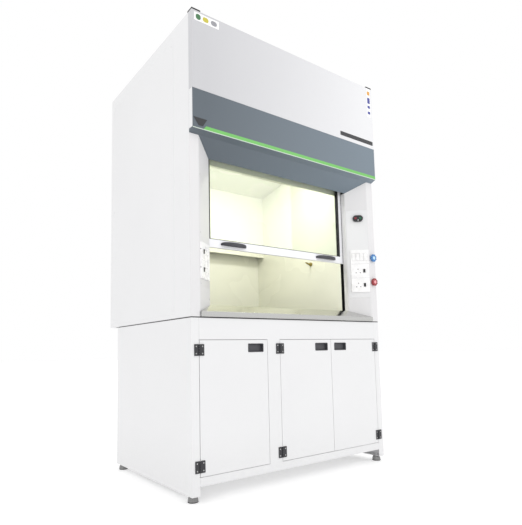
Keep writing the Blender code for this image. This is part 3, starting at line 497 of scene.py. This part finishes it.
# recessed pull: a thin lip over the door, straight walls and a floor whose depth grows along the slope
def makePull(word):
    low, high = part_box(f"pull_{word}")
    a, b = (low.x + high.x) / 2, (low.z + high.z) / 2
    width, height, depth = high.x - low.x, high.z - low.z, high.y - low.y
    lip, wall, proud, mouth = (pull[key] for key in ("lip", "wall", "proud", "mouth"))

    def outline(grow, n):
        line = roundRect(width + 2 * grow, height + 2 * grow, pull["corner"] + grow)
        return front.at(a + line[:, 0], b + line[:, 1], np.full(len(line), n))

    rings = [outline(-0.001, -depth), outline(-0.0002, -depth + 0.001), outline(-0.0002, mouth)]
    rings += [outline(lip, mouth), outline(lip, proud - 0.0005), outline(lip - 0.0005, proud)]
    rings += [outline(-wall + 0.0006, proud), outline(-wall, proud - 0.0006)]
    rings += [outline(-wall - 0.0004, -depth * 0.35)]
    floor = outline(-wall - 0.0022, 0.0)
    run = (floor[:, 0] - floor[:, 0].min()) / np.ptp(floor[:, 0])
    floor[:, 1] = frontY + depth * (pull["shallow"] + pull["fall"] * np.clip(run * pull["slope"], 0, 1))
    name = f"pull_{word}_cup"
    mesh = skinMesh(name, rings + [floor])
    finish(name, mesh, finishes["pull_plastic"], f"door_{word}", "pull_plastic", (f"pull_{word}",), 24)


foot = {
    "sides": 40, "pad": 0.0040, "soft": 0.0012, "bell": 0.0041, "mouth": 0.985, "taper": 0.24,
    "power": 2.4, "shoulder": 0.94, "nut": 0.0112, "chamfer": 0.0104,
}


# levelling foot: pad, bell and locknut; the bell's radius is mouth less taper times its height to a power
def makeFoot(node):
    low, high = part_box(node)
    middle = Plane(((low.x + high.x) / 2, (low.y + high.y) / 2, 0), (1, 0, 0), (0, 1, 0))
    tall, wide = high.z, (high.x - low.x) / 2
    share = np.linspace(0, 1, 9)
    radius = wide * (foot["mouth"] - foot["taper"] * share ** foot["power"])
    rise = foot["bell"] + (tall * foot["shoulder"] - foot["bell"]) * share
    pad = [(wide - foot["soft"], 0.0), (wide, foot["soft"]), (wide, foot["pad"] - 0.0006)]
    pad += [(wide - 0.0006, foot["pad"]), (wide * 0.7, foot["pad"])]
    bell = [(wide * 0.9, foot["bell"]), *zip(radius, rise)]
    bell += [(wide * 0.70, tall * 0.97), (wide * 0.46, tall * 0.98)]
    nut = [(foot["nut"], tall * 0.975), (foot["nut"], tall - 0.0004), (foot["chamfer"], tall)]
    parts = (("pad", pad, foot["sides"], extras["rubber"], ()),)
    parts += (("bell", bell, foot["sides"], finishes["foot_metal"], (node,)),)
    parts += (("nut", nut, 6, extras["brightScrew"], ()),)
    for word, profile, sides, material, stands in parts:
        name, rings = f"{node}_{word}", stack(middle, 0, 0, [(circle(r, sides), z) for r, z in profile])
        finish(name, skinMesh(name, rings), material, "cabinet", "foot_metal", stands)


for word in ("left", "centre", "right"):
    makePull(word)
    for level in ("upper", "lower"):
        makeHinge(word, level, f"door_{word}")
for node in sorted(frame["nodes"]):
    if node.startswith("foot_"):
        makeFoot(node)
print("base furniture made")


bow = {"bar": 0.0095, "tall": 0.0250, "soft": 0.0044, "ends": 0.42, "steps": 49, "arch": 0.62, "fill": 0.7}
bowPad = {"long": 0.0150, "share": 0.50, "proud": 0.0022, "in": 0.002, "radius": 0.006}


# bow handle: a rounded bar along y = rise sin(t)^arch, whose height grows from the feet as sin(t)^fill
def makeSashHandle(word):
    low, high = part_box(f"sash_handle_{word}")
    middle, half, proud = (low.x + high.x) / 2, (high.x - low.x) / 2, high.y - low.y
    z = (low.z + high.z) / 2
    turn = np.linspace(0, math.pi, bow["steps"])
    reach, rise = half - bow["bar"] / 2 - 0.0004, proud - bow["bar"] / 2
    pathX = middle - reach * np.cos(turn)
    pathY = high.y - rise * np.sin(turn) ** bow["arch"]
    stepX, stepY = np.gradient(pathX), np.gradient(pathY)
    stepX[[0, -1]], stepY[[0, -1]] = 0.0, (-1.0, 1.0)
    long = np.hypot(stepX, stepY)
    acrossX, acrossY = stepY / long, -stepX / long
    swell = bow["ends"] + (1 - bow["ends"]) * np.sin(turn) ** bow["fill"]
    section = roundRect(bow["bar"], bow["tall"], bow["soft"], 4)
    side = section[None, :, 0] * np.ones((bow["steps"], 1))
    x, y = pathX[:, None] + acrossX[:, None] * side, pathY[:, None] + acrossY[:, None] * side
    rings = np.stack([x, y, z + section[None, :, 1] * swell[:, None]], -1)
    rings[..., 1] = np.minimum(rings[..., 1], high.y)
    name = f"sash_handle_{word}_bow"
    mesh = skinMesh(name, rings[:, ::-1])
    finish(name, mesh, finishes["handle_grey"], "sash", "handle_grey", (f"sash_handle_{word}",), 40)
    face = Plane((0, high.y, 0), (1, 0, 0), (0, 0, 1))
    for k, way in enumerate((-1, 1)):
        a = middle + way * (half - bow["bar"] / 2) - way * bowPad["in"]
        size = (bowPad["long"], bow["tall"] * bowPad["share"])
        more = {"radius": bowPad["radius"], "slot": "handle_grey"}
        plate(f"{name}_pad_{k}", face, a, z, size, bowPad["proud"], finishes["handle_grey"], "sash", **more)


for word in ("left", "right"):
    makeSashHandle(word)

glassLow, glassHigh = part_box("sash_glass")
sashLow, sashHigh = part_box("sash_frame")
sashFace = Plane((0, sashLow.y, 0), (1, 0, 0), (0, 0, 1))
gasket = {"left": 0.007, "right": 0.014, "recess": 0.0012, "bead": 0.003, "off": 0.0001}
glassMiddle, glassTall = (glassLow.z + glassHigh.z) / 2, glassHigh.z - glassLow.z
glassFront = -(glassLow.y - sashLow.y) + gasket["off"]
glassRear = -(glassHigh.y - sashLow.y) - gasket["off"]
sashRear = -(sashHigh.y - sashLow.y - gasket["recess"])
for k, (side, way) in enumerate((("left", -1), ("right", 1))):
    a, size = way * (glassHigh.x - gasket[side] / 2), (gasket[side], glassTall)
    for word, outer, inner in (("front", -gasket["recess"], glassFront), ("rear", glassRear, sashRear)):
        more = {"radius": 0.0008, "back": inner, "edge": 0.0006}
        name = f"gasket_{word}_{k}"
        plate(name, sashFace, a, glassMiddle, size, outer, extras["rubber"], "sash", **more)
size, b = (2 * glassHigh.x, gasket["bead"]), glassLow.z + gasket["bead"] / 2
more = {"radius": 0.0006, "back": glassFront, "edge": 0.0005}
plate("bead_low", sashFace, 0, b, size, -gasket["recess"], extras["rubber"], "sash", **more)
print("sash furniture made")


marks = {"fold": 0.2052, "side": 0.0009, "inset": 0.0004}
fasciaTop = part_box("fascia")[1].z
foldZ = fasciaTop - marks["fold"]
stripEnd, lineStart = sideX - marks["inset"], -sideX + 0.001
bands = (  # name, levels above the fold, the four corners across, how proud, paint
    ("green_stripe", (0.0042, 0.0222), (-0.6134, stripEnd, stripEnd, -0.5970), 0.0006, "stripeGreen"),
    # a pale line just above the fold: painted highlight where the fold edge catches the light
    ("fold_highlight_line", (0.0002, 0.0042), (lineStart, stripEnd, stripEnd, lineStart), 0.0005, "stripePale"),
    ("plain_badge", (0.017, 0.056), (-0.641, -0.617, -0.592, -0.671), 0.0009, "plateDark"),
)


# flat mark with a slanted end, from its four corners
def makeMark(name, plane, corners, proud, material):
    levels = [(np.array(corners), 0.0001), (np.array(corners), proud)]
    return finish(name, skinMesh(name, stack(plane, 0, 0, levels)), material, "cabinet", sharp=20)


for name, (low, high), across, proud, paint in bands:
    corners = list(zip(across, (foldZ + low, foldZ + low, foldZ + high, foldZ + high)))
    makeMark(name, topFront, corners, proud, extras[paint])
for word, plane, way in (("left", leftSide, -1), ("right", rightSide, 1)):
    near, far = way * (cadLow[1] + marks["inset"]), way * (frontY - marks["inset"])
    top, bottom = fasciaTop - 0.0005, foldZ + 0.004
    corners = [(near, bottom), (far, bottom), (far, top), (near, top)][::way]
    makeMark(f"side_cover_{word}", plane, corners, marks["side"], finishes["white_paint"])

strip = {"a": 0.515, "up": 0.036, "size": (0.300, 0.026), "proud": 0.0010}
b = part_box("front_top_panel")[0].z + strip["up"]
more = {"radius": 0.004, "back": 0.0001, "edge": 0.0004}
paint = extras["plateDark"]
plate("plain_name_strip", topFront, strip["a"], b, strip["size"], strip["proud"], paint, "cabinet", **more)
patches = {  # middle, distance down from the top, size
    "left": (-0.588, 0.0315, (0.146, 0.043)),
    "right": (0.644, 0.101, (0.036, 0.196)),
}
patch = {"radius": 0.002, "back": 0.0001, "edge": 0.0001}
dots = (("green", -0.637, 0.028, 0.030), ("yellow", -0.594, 0.034, 0.026), ("grey", -0.545, 0.036, 0.026))
squares = ((0.035, 0.026, "Amber"), (0.086, 0.040, "Blue"), (0.130, 0.018, "Blue"), (0.170, 0.018, "Blue"))
a, down, size = patches["left"]
plate("label_left", topFront, a, bodyTop - down, size, 0.0004, extras["patchWhite"], "cabinet", **patch)
for word, a, wide, tall in dots:
    line = roundRect(wide, tall, 0.012, 8)
    rings = stack(topFront, a, bodyTop - down, [(line, 0.0003), (line, 0.0007)])
    name = f"label_{word}"
    finish(name, skinMesh(name, rings), extras["patch" + word.capitalize()], "cabinet")
a, down, size = patches["right"]
plate("label_right", topFront, a, bodyTop - down, size, 0.0004, extras["patchWhite"], "cabinet", **patch)
more = {"radius": 0.003, "back": 0.0003, "edge": 0.0002}
for k, (down, tall, word) in enumerate(squares):
    name, paint = f"label_square_{k}", extras["patch" + word]
    plate(name, topFront, a, bodyTop - down, (0.024, tall), 0.0007, paint, "cabinet", **more)
corner = {"across": 0.050, "along": 0.044, "arm": 0.012, "thick": 0.0085, "inset": 0.0006}
for k, way in enumerate((-1, 1)):
    x, y = way * (sideX - corner["inset"]), cadLow[1] + corner["inset"]
    farX, armX = x - way * corner["across"], x - way * corner["arm"]
    farY, armY = y + corner["along"], y + corner["arm"]
    ell = np.array([[x, y], [farX, y], [farX, armY], [armX, armY], [armX, farY], [x, farY]][::-way])
    name = f"corner_bracket_{k}"
    rings = stack(roof, 0, 0, [(ell, 0.0001), (ell, corner["thick"])])
    finish(name, skinMesh(name, rings), extras["rubber"], "cabinet", sharp=20)
print("front panel marks made")


postScrews = {
    "radius": 0.0034,
    "left": ((-0.060, 1.576), (-0.060, 1.281), (-0.060, 1.026), (0.060, 1.576), (0.060, 0.960)),
}
for k, (a, b) in enumerate(postScrews["left"]):
    screw(f"post_screw_left_{k}", leftFace, a, b, postScrews["radius"], "cabinet")
leftPlate = {"low": 1.018, "high": 1.586, "wide": 0.132, "proud": 0.0010}
size = (leftPlate["wide"], leftPlate["high"] - leftPlate["low"])
b, more = (leftPlate["high"] + leftPlate["low"]) / 2, {"back": 0.0001, "edge": 0.0005}
paint = finishes["post_paint"]
plate("service_plate_left", leftFace, 0, b, size, leftPlate["proud"], paint, "cabinet", **more)

modules = {
    "low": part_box("switch_plate")[0].z, "pitch": 0.0905, "line": 0.0011, "wide": 0.1146,
    "screw": 0.0515,  # from the middle of the plate
}
pins = {
    "spread": 0.013, "rise": 0.0115, "radius": 0.0031, "deep": 0.0056, "sunk": 0.0005,
    "ways": ((0, 1), (-1, -1), (1, -1)),  # one pin above, two below
}
faces = {  # plane, middle of the plate, number of modules, how proud the plate is, middle of the pins
    "right": (rightFace, 0.0085, 3, 0.0111, -0.005),
    "left": (leftFace, -0.011, 2, 0.0093, 0.007),
}
for word, (plane, a, count, proud, pinA) in faces.items():
    # dark discs sunk a little into the plate: painted shade for the dark inside of each pin hole
    hole = circle(pins["radius"], 16)
    for k in range(2):
        middle = modules["low"] + (k + 0.5) * modules["pitch"]
        for j, (across, up) in enumerate(pins["ways"]):
            levels = [(hole, proud - pins["deep"]), (hole, proud - pins["sunk"])]
            name = f"pin_hole_{word}_{k}_{j}"
            rings = stack(plane, pinA + across * pins["spread"], middle + up * pins["rise"], levels)
            finish(name, skinMesh(name, rings), extras["rubber"], "cabinet")
    # thin grey strips between the modules: painted shade for the gaps between them
    more = {"radius": 0.0003, "back": proud - 0.001, "edge": 0.0001}
    for k in range(1, count):
        b, size = modules["low"] + k * modules["pitch"], (modules["wide"], modules["line"])
        name = f"module_seam_shade_{word}_{k}"
        plate(name, plane, a, b, size, proud + 0.0001, extras["seamPaintedShade"], "cabinet", **more)
    for k in range(count):
        b = modules["low"] + (k + 0.5) * modules["pitch"]
        for j, way in enumerate((-1, 1)):
            name, screwA = f"module_screw_{word}_{k}_{j}", a + way * modules["screw"]
            screw(name, plane, screwA, b, 0.0022, "cabinet", proud, finishes["socket_white"])

wall = {"a": -0.0685, "n": 0.0048, "up": 0.008, "radius": 0.0024, "height": 0.0012}
wallPlane = Plane(leftFace.at(wall["a"], 0.0, wall["n"]), leftFace.out, (0, 0, 1))
for k in range(2):
    b = modules["low"] + (k + 0.5) * modules["pitch"] + wall["up"]
    paint = extras["rubber"]
    screw(f"box_side_screw_{k}", wallPlane, 0, b, wall["radius"], "cabinet", 0.0, paint, wall["height"])

station = {"front": 0.0021 + 0.014, "bezel": 0.0124, "hole": 0.0090, "behind": 0.0004, "rise": 0.0022}
button = {
    "radius": 0.0081, "soft": 0.0003, "skirt": 0.0058, "low": 0.0065, "sides": 36,
    "proud": 0.0030, "dome": 0.0015, "round": 0.86,
}
ringSides = 40


# annular bezel: outer ring up, over the top and down the hole, closed at the back
def makeRing(name, plane, a, b, outer, hole, low, high, material, body, slot=None):
    soft = (outer - hole) * 0.25
    radii = [outer, outer, outer - soft, hole + soft, hole, hole]
    levels = [low, high - soft, high, high, high - soft, low]
    outlines = [(circle(r, ringSides), n) for r, n in zip(radii, levels)]
    points = np.concatenate(stack(plane, a, b, outlines))
    rows = np.arange(len(radii))[:, None] * ringSides
    nextRow = np.roll(rows, -1, axis=0)
    k = np.arange(ringSides)[None, :]
    j = (k + 1) % ringSides
    faces = np.stack([rows + k, rows + j, nextRow + j, nextRow + k], -1).reshape(-1, 4)
    mesh = bpy.data.meshes.new(name)
    mesh.from_pydata(points.tolist(), [], faces.tolist())
    mesh.update()
    return finish(name, mesh, material, body, slot)


# button: a bezel round a cap whose radius falls as the root of 1 - round share^2 over its dome
for word, paint in (("stop", "button_red"), ("start", "button_green")):
    low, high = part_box(f"{word}_button")
    centre = (np.array(low) + np.array(high)) / 2
    a = float((centre - rightFace.origin) @ rightFace.right)
    b = float(centre[2])
    around = (station["bezel"], station["hole"], station["front"] - station["behind"])
    around += (station["front"] + station["rise"],)
    makeRing(f"{word}_bezel", rightFace, a, b, *around, extras["plateDark"], "cabinet", "housing_black")
    share = np.linspace(0, 1, 7)
    radius = button["radius"] * np.sqrt(1 - button["round"] * share**2)
    rise = station["front"] + button["proud"] + button["dome"] * share
    profile = [(button["radius"] - button["soft"], station["front"] - button["low"])]
    profile += [(button["radius"], station["front"] - button["skirt"]), *zip(radius, rise)]
    rings = stack(rightFace, a, b, [(circle(r, button["sides"]), n) for r, n in profile])
    mesh = skinMesh(f"{word}_cap", rings)
    finish(f"{word}_cap", mesh, finishes[paint], f"{word}_button", paint, (f"{word}_button",))
dome = ((0.0036, -0.0002), (0.0036, 0.0008), (0.0022, 0.0016))
rings = stack(rightFace, 0.0085, 1.519, [(circle(r), station["front"] + n) for r, n in dome])
finish("station_lens", skinMesh("station_lens", rings), extras["clearLens"], "cabinet")

knob = {
    "lobes": 8, "flute": 0.0042, "sides": 96, "spindle": 0.004, "seat": 0.0032, "sunk": 0.0012,
    "cap": (6, 0.10, 48), "collar": ((0.0125, 0.0001), (0.0125, 0.0012), (0.0105, 0.0022)),
}


# valve knob: the radius swells by a quarter sine and falls again past 0.62, with lobes all round
def makeKnob(word, cap):
    low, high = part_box(f"{word}_knob")
    a, b, tall = (low.x + high.x) / 2, (low.z + high.z) / 2, frontY - low.y
    r = (high.x - low.x) / 2
    sides, seat = knob["sides"], knob["seat"]
    slim = circle(knob["spindle"], sides)
    spindle = [(slim, -(high.y - frontY)), (slim, 0.0015), (circle(r * 0.72, sides), seat)]
    share = np.linspace(0, 1, 10)
    swell = np.sin(np.minimum(share * 1.35, 1) * math.pi / 2)
    radius = r * (0.86 + 0.14 * swell - 0.20 * np.clip(share - 0.62, 0, 1) ** 1.5)
    rise = seat + (tall - seat - 0.001) * share
    flute = knob["flute"] * np.minimum(1, 0.4 + share)
    body = [(lobed(s, deep, knob["lobes"]), n) for s, deep, n in zip(radius, flute, rise)]
    face = [(lobed(radius[-1] - 0.0018, knob["flute"] * 0.8, knob["lobes"]), tall)]
    face += [(circle(r * 0.50, sides), tall), (circle(r * 0.47, sides), tall - knob["sunk"])]
    name = f"{word}_knob_grip"
    mesh = skinMesh(name, stack(front, a, b, spindle + body + face))
    finish(name, mesh, finishes[f"knob_{word}"], f"{word}_knob", f"knob_{word}", (f"{word}_knob",), 30)
    spokes, deep, count = knob["cap"]
    levels = ((0.46, tall - 0.0013), (0.46, tall - 0.0004), (0.40, tall))
    rings = [(lobed(r * part, r * deep, spokes, count), n) for part, n in levels]
    mesh = skinMesh(f"{word}_knob_cap", stack(front, a, b, rings))
    finish(f"{word}_knob_cap", mesh, extras[cap], f"{word}_knob", f"knob_{word}")
    collar = stack(front, a, b, [(circle(s), n) for s, n in knob["collar"]])
    finish(f"{word}_knob_collar", skinMesh(f"{word}_knob_collar", collar), extras["brightScrew"], "cabinet")


makeKnob("blue", "knobBlueCap")
makeKnob("red", "knobRedCap")
print("post controls made")


nozzle = {
    "y": 0.430, "z": 1.287, "reach": 0.050, "lift": 0.010, "sides": 28,
    "profile": (  # millimetres along, and radius: flange, hub, neck, barbs
        (0, 14), (2, 14), (6, 12), (7, 9), (15, 9), (16, 6), (22, 5.4), (26, 6.6), (26.5, 5.0),
        (32, 6.4), (32.5, 4.8), (38, 6.2), (38.5, 4.7), (44, 5.6), (48, 4.2), (50, 3.2),
    ),
}


# gas nozzle: circles of the profile's radius, lifted by the square of the share of its reach
def makeNozzle():
    along, radius = np.array(nozzle["profile"]).T / 1000
    lift = nozzle["lift"] * (along / nozzle["reach"]) ** 2
    turn = np.linspace(0, math.tau, nozzle["sides"], endpoint=False)
    x = (innerX - along)[:, None] * np.ones(nozzle["sides"])
    y = frontY + nozzle["y"] + radius[:, None] * np.cos(turn)[None, :]
    z = (nozzle["z"] + lift)[:, None] + radius[:, None] * np.sin(turn)[None, :]
    mesh = skinMesh("gas_nozzle", np.stack([x, y, z], -1)[:, ::-1])
    finish("gas_nozzle", mesh, extras["brass"], "cabinet")


makeNozzle()
ceilingLow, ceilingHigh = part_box("ceiling_liner")
lampBox = {"size": (0.62, 0.13), "deep": 0.012, "above": 0.0042, "back": 0.175, "radius": 0.02, "edge": 0.006}
lampPlane = Plane((0, 0, ceilingHigh.z - lampBox["above"]), (1, 0, 0), (0, -1, 0))
lampAt = ceilingLow.y + lampBox["back"]
more = {"radius": lampBox["radius"], "edge": lampBox["edge"]}
size, deep = lampBox["size"], lampBox["deep"]
plate("lamp_diffuser", lampPlane, 0, -lampAt, size, deep, extras["lamp"], "cabinet", **more)
baffleLow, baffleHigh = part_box("baffle")
baffleFace = Plane((0, baffleLow.y, 0), (1, 0, 0), (0, 0, 1))
baffleScrew = {"across": 0.42, "low": 0.05, "high": 0.10, "radius": 0.006}
levels = (baffleLow.z + baffleScrew["low"], baffleHigh.z - baffleScrew["high"])
for k, way in enumerate((-1, 1)):
    for j, b in enumerate(levels):
        name, a = f"baffle_screw_{k}_{j}", way * baffleScrew["across"]
        screw(name, baffleFace, a, b, baffleScrew["radius"], "cabinet", 0.0, finishes["cream_laminate"])
print("chamber fittings made")


coat = finishes["white_paint"]
cover = {"radius": 0.004, "edge": 0.0008, "slot": "white_paint"}
access = {
    "low": 0.885, "high": 2.345, "near": 0.170, "far": 1.035, "proud": 0.0011,
    "screw": 0.0036, "inset": (0.018, 0.022),
}
for word, plane, way in (("left", leftSide, -1), ("right", rightSide, 1)):
    a = way * (frontY + (access["near"] + access["far"]) / 2)
    size = (access["far"] - access["near"], access["high"] - access["low"])
    b = (access["low"] + access["high"]) / 2
    plate(f"access_panel_{word}", plane, a, b, size, access["proud"], coat, "cabinet", **cover)
    reachA, reachB = (whole / 2 - inset for whole, inset in zip(size, access["inset"]))
    for k, across in enumerate((-1, 1)):
        for j, up in enumerate((-1, 0, 1)):
            name = f"access_screw_{word}_{k}_{j}"
            screwA, screwB = a + across * reachA, b + up * reachB
            screw(name, plane, screwA, screwB, access["screw"], "cabinet", access["proud"], coat)

backPanels = {
    "edge": 0.03, "joint": (1.62, 1.626), "proud": 0.0011,
    "screws": 4, "screw": 0.0038, "inset": 0.02,
}
backLow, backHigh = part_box("hood_back")
bottom, top = backLow.z + backPanels["edge"], backHigh.z - backPanels["edge"]
wide = backHigh.x - backLow.x - 2 * backPanels["edge"]
for k, (low, high) in enumerate(((bottom, backPanels["joint"][0]), (backPanels["joint"][1], top))):
    size, middle = (wide, high - low), (low + high) / 2
    plate(f"back_cover_{k}", rear, 0, middle, size, backPanels["proud"], coat, "cabinet", **cover)
    reachA, reachB = (whole / 2 - backPanels["inset"] for whole in size)
    for i, share in enumerate(np.linspace(-1, 1, backPanels["screws"])):
        for j, up in enumerate((-1, 1)):
            name, b = f"back_screw_{k}_{i}_{j}", middle + up * reachB
            screw(name, rear, share * reachA, b, backPanels["screw"], "cabinet", backPanels["proud"])
baseBack = {"screws": 5, "across": 0.58, "inset": 0.03, "screw": 0.0036}
shellLow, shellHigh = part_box("cabinet_shell")
baseRear = Plane((0, shellHigh.y, 0), (-1, 0, 0), (0, 0, 1))
for i, share in enumerate(np.linspace(-1, 1, baseBack["screws"])):
    for j, b in enumerate((shellLow.z + baseBack["inset"], shellHigh.z - baseBack["inset"])):
        name, a = f"base_back_screw_{i}_{j}", share * baseBack["across"]
        screw(name, baseRear, a, b, baseBack["screw"], "cabinet")

duct = {
    "y": 0.560, "flange": 0.139, "screws": 8, "screw": 0.0042, "thick": 0.003,
    "rings": (  # name, outer and inner radius, lowest and highest level from the collar's top
        ("rolled_edge", 0.1268, 0.1214, -0.006, 0.0006),
        ("swage", 0.1272, 0.1245, -0.032, -0.026),
    ),
}
ductTop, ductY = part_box("exhaust_collar")[1].z, frontY + duct["y"]
for k in range(duct["screws"]):
    turn = math.tau * (k + 0.5) / duct["screws"]
    a, b = duct["flange"] * math.cos(turn), ductY + duct["flange"] * math.sin(turn)
    screw(f"flange_screw_{k}", roof, a, b, duct["screw"], "cabinet", duct["thick"])
ductPlane = Plane((0, ductY, 0), (1, 0, 0), (0, 1, 0))
for word, outer, hole, low, high in duct["rings"]:
    shape = (outer, hole, ductTop + low, ductTop + high)
    makeRing(f"collar_{word}", ductPlane, 0, 0, *shape, coat, "cabinet", "white_paint")
seam = {"across": 0.45, "y": 0.545, "size": (0.006, 0.96), "proud": 0.0010}
more = {"radius": 0.002, "edge": 0.0005}
for k, way in enumerate((-1, 1)):
    a, b = way * seam["across"], frontY + seam["y"]
    plate(f"roof_seam_{k}", roof, a, b, seam["size"], seam["proud"], coat, "cabinet", **more)
print("shell details made")


# camera: it stands low and left of the front and looks a little up
lens = {
    "place": (-1.78619, frontY - 2.03172, 0.69109), "turn": 36.884, "tilt": 5.763, "roll": -1.303,
    "focal": 33.257, "shift": (0.0015, 0.0761),
}


def makeCamera():
    turn, tilt, roll = (math.radians(lens[key]) for key in ("turn", "tilt", "roll"))
    ahead = Vector((math.sin(turn) * math.cos(tilt), math.cos(turn) * math.cos(tilt), math.sin(tilt)))
    flat = Vector((math.cos(turn), -math.sin(turn), 0))
    upright = flat.cross(ahead)
    right = flat * math.cos(roll) + upright * math.sin(roll)
    up = upright * math.cos(roll) - flat * math.sin(roll)
    data = bpy.data.cameras.new("studioCamera")
    data.lens, data.sensor_width = lens["focal"], 36.0
    data.shift_x, data.shift_y = lens["shift"]
    data.clip_start, data.clip_end = 0.05, 200.0
    camera = bpy.data.objects.new("studioCamera", data)
    bpy.context.scene.collection.objects.link(camera)
    columns = Matrix((right, up, -ahead)).transposed().to_4x4()
    camera.matrix_world = Matrix.Translation(lens["place"]) @ columns
    bpy.context.scene.camera = camera


def makeLight(name, place, aim, size, power, colour):
    data = bpy.data.lights.new(name, "AREA")
    data.shape, data.size, data.size_y = "RECTANGLE", size[0], size[1]
    data.energy, data.color = power, colour
    lamp = bpy.data.objects.new(name, data)
    lamp.location = place
    lamp.rotation_euler = (Vector(aim) - Vector(place)).to_track_quat("-Z", "Y").to_euler()
    bpy.context.scene.collection.objects.link(lamp)


studio = {"floor": (0.77, 0.80), "glow": 0.32, "half": 60}
lampSpot, lampAim = (0, lampAt, ceilingHigh.z - 0.03), (0, lampAt + 0.1, 0.9)
lights = (  # name, place, what it points at, size, power, colour
    ("keyLight", (-3.2, -3.6, 3.4), (0, 0, 1.2), (2.5, 2.5), 21, (1, 1, 1)),
    ("fillLight", (1.95, -3.4, 2.6), (1.95, 0, 2.6), (1.5, 1.7), 15, (1, 1, 1)),
    ("chamberLight", lampSpot, lampAim, (0.6, 0.12), 5.4, (1, 1, 0.98)),
)


def makeStage():
    pale = Paint("paleFloor", Base_Color=(0.78, 0.78, 0.78, 1), Roughness=0.7, Specular_IOR_Level=0.2)
    pale.feed(pale.shader.inputs["Emission Color"], (1, 1, 1, 1))
    pale.feed(pale.shader.inputs["Emission Strength"], studio["glow"])
    cloud = pale.noise(pale.place(), 0.6, 3.0)
    pale.colour(pale.mix(cloud, *((level, level, level, 1) for level in studio["floor"])))
    mesh = bpy.data.meshes.new("floor")
    corners = np.array([(-1, -1, 0), (1, -1, 0), (1, 1, 0), (-1, 1, 0)], float) * studio["half"]
    mesh.from_pydata(corners.tolist(), [], [(0, 1, 2, 3)])
    mesh.materials.append(pale.material)
    floor = bpy.data.objects.new("floor", mesh)
    bpy.context.scene.collection.objects.link(floor)
    floor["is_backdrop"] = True
    world = bpy.data.worlds.new("studioWorld")
    world.use_nodes = True
    world.node_tree.nodes["Background"].inputs["Color"].default_value = (1, 1, 1, 1)
    world.node_tree.nodes["Background"].inputs["Strength"].default_value = 1.0
    bpy.context.scene.world = world
    bpy.context.scene.view_settings.view_transform = "Standard"
    for light in lights:
        makeLight(*light)


makeCamera()
makeStage()
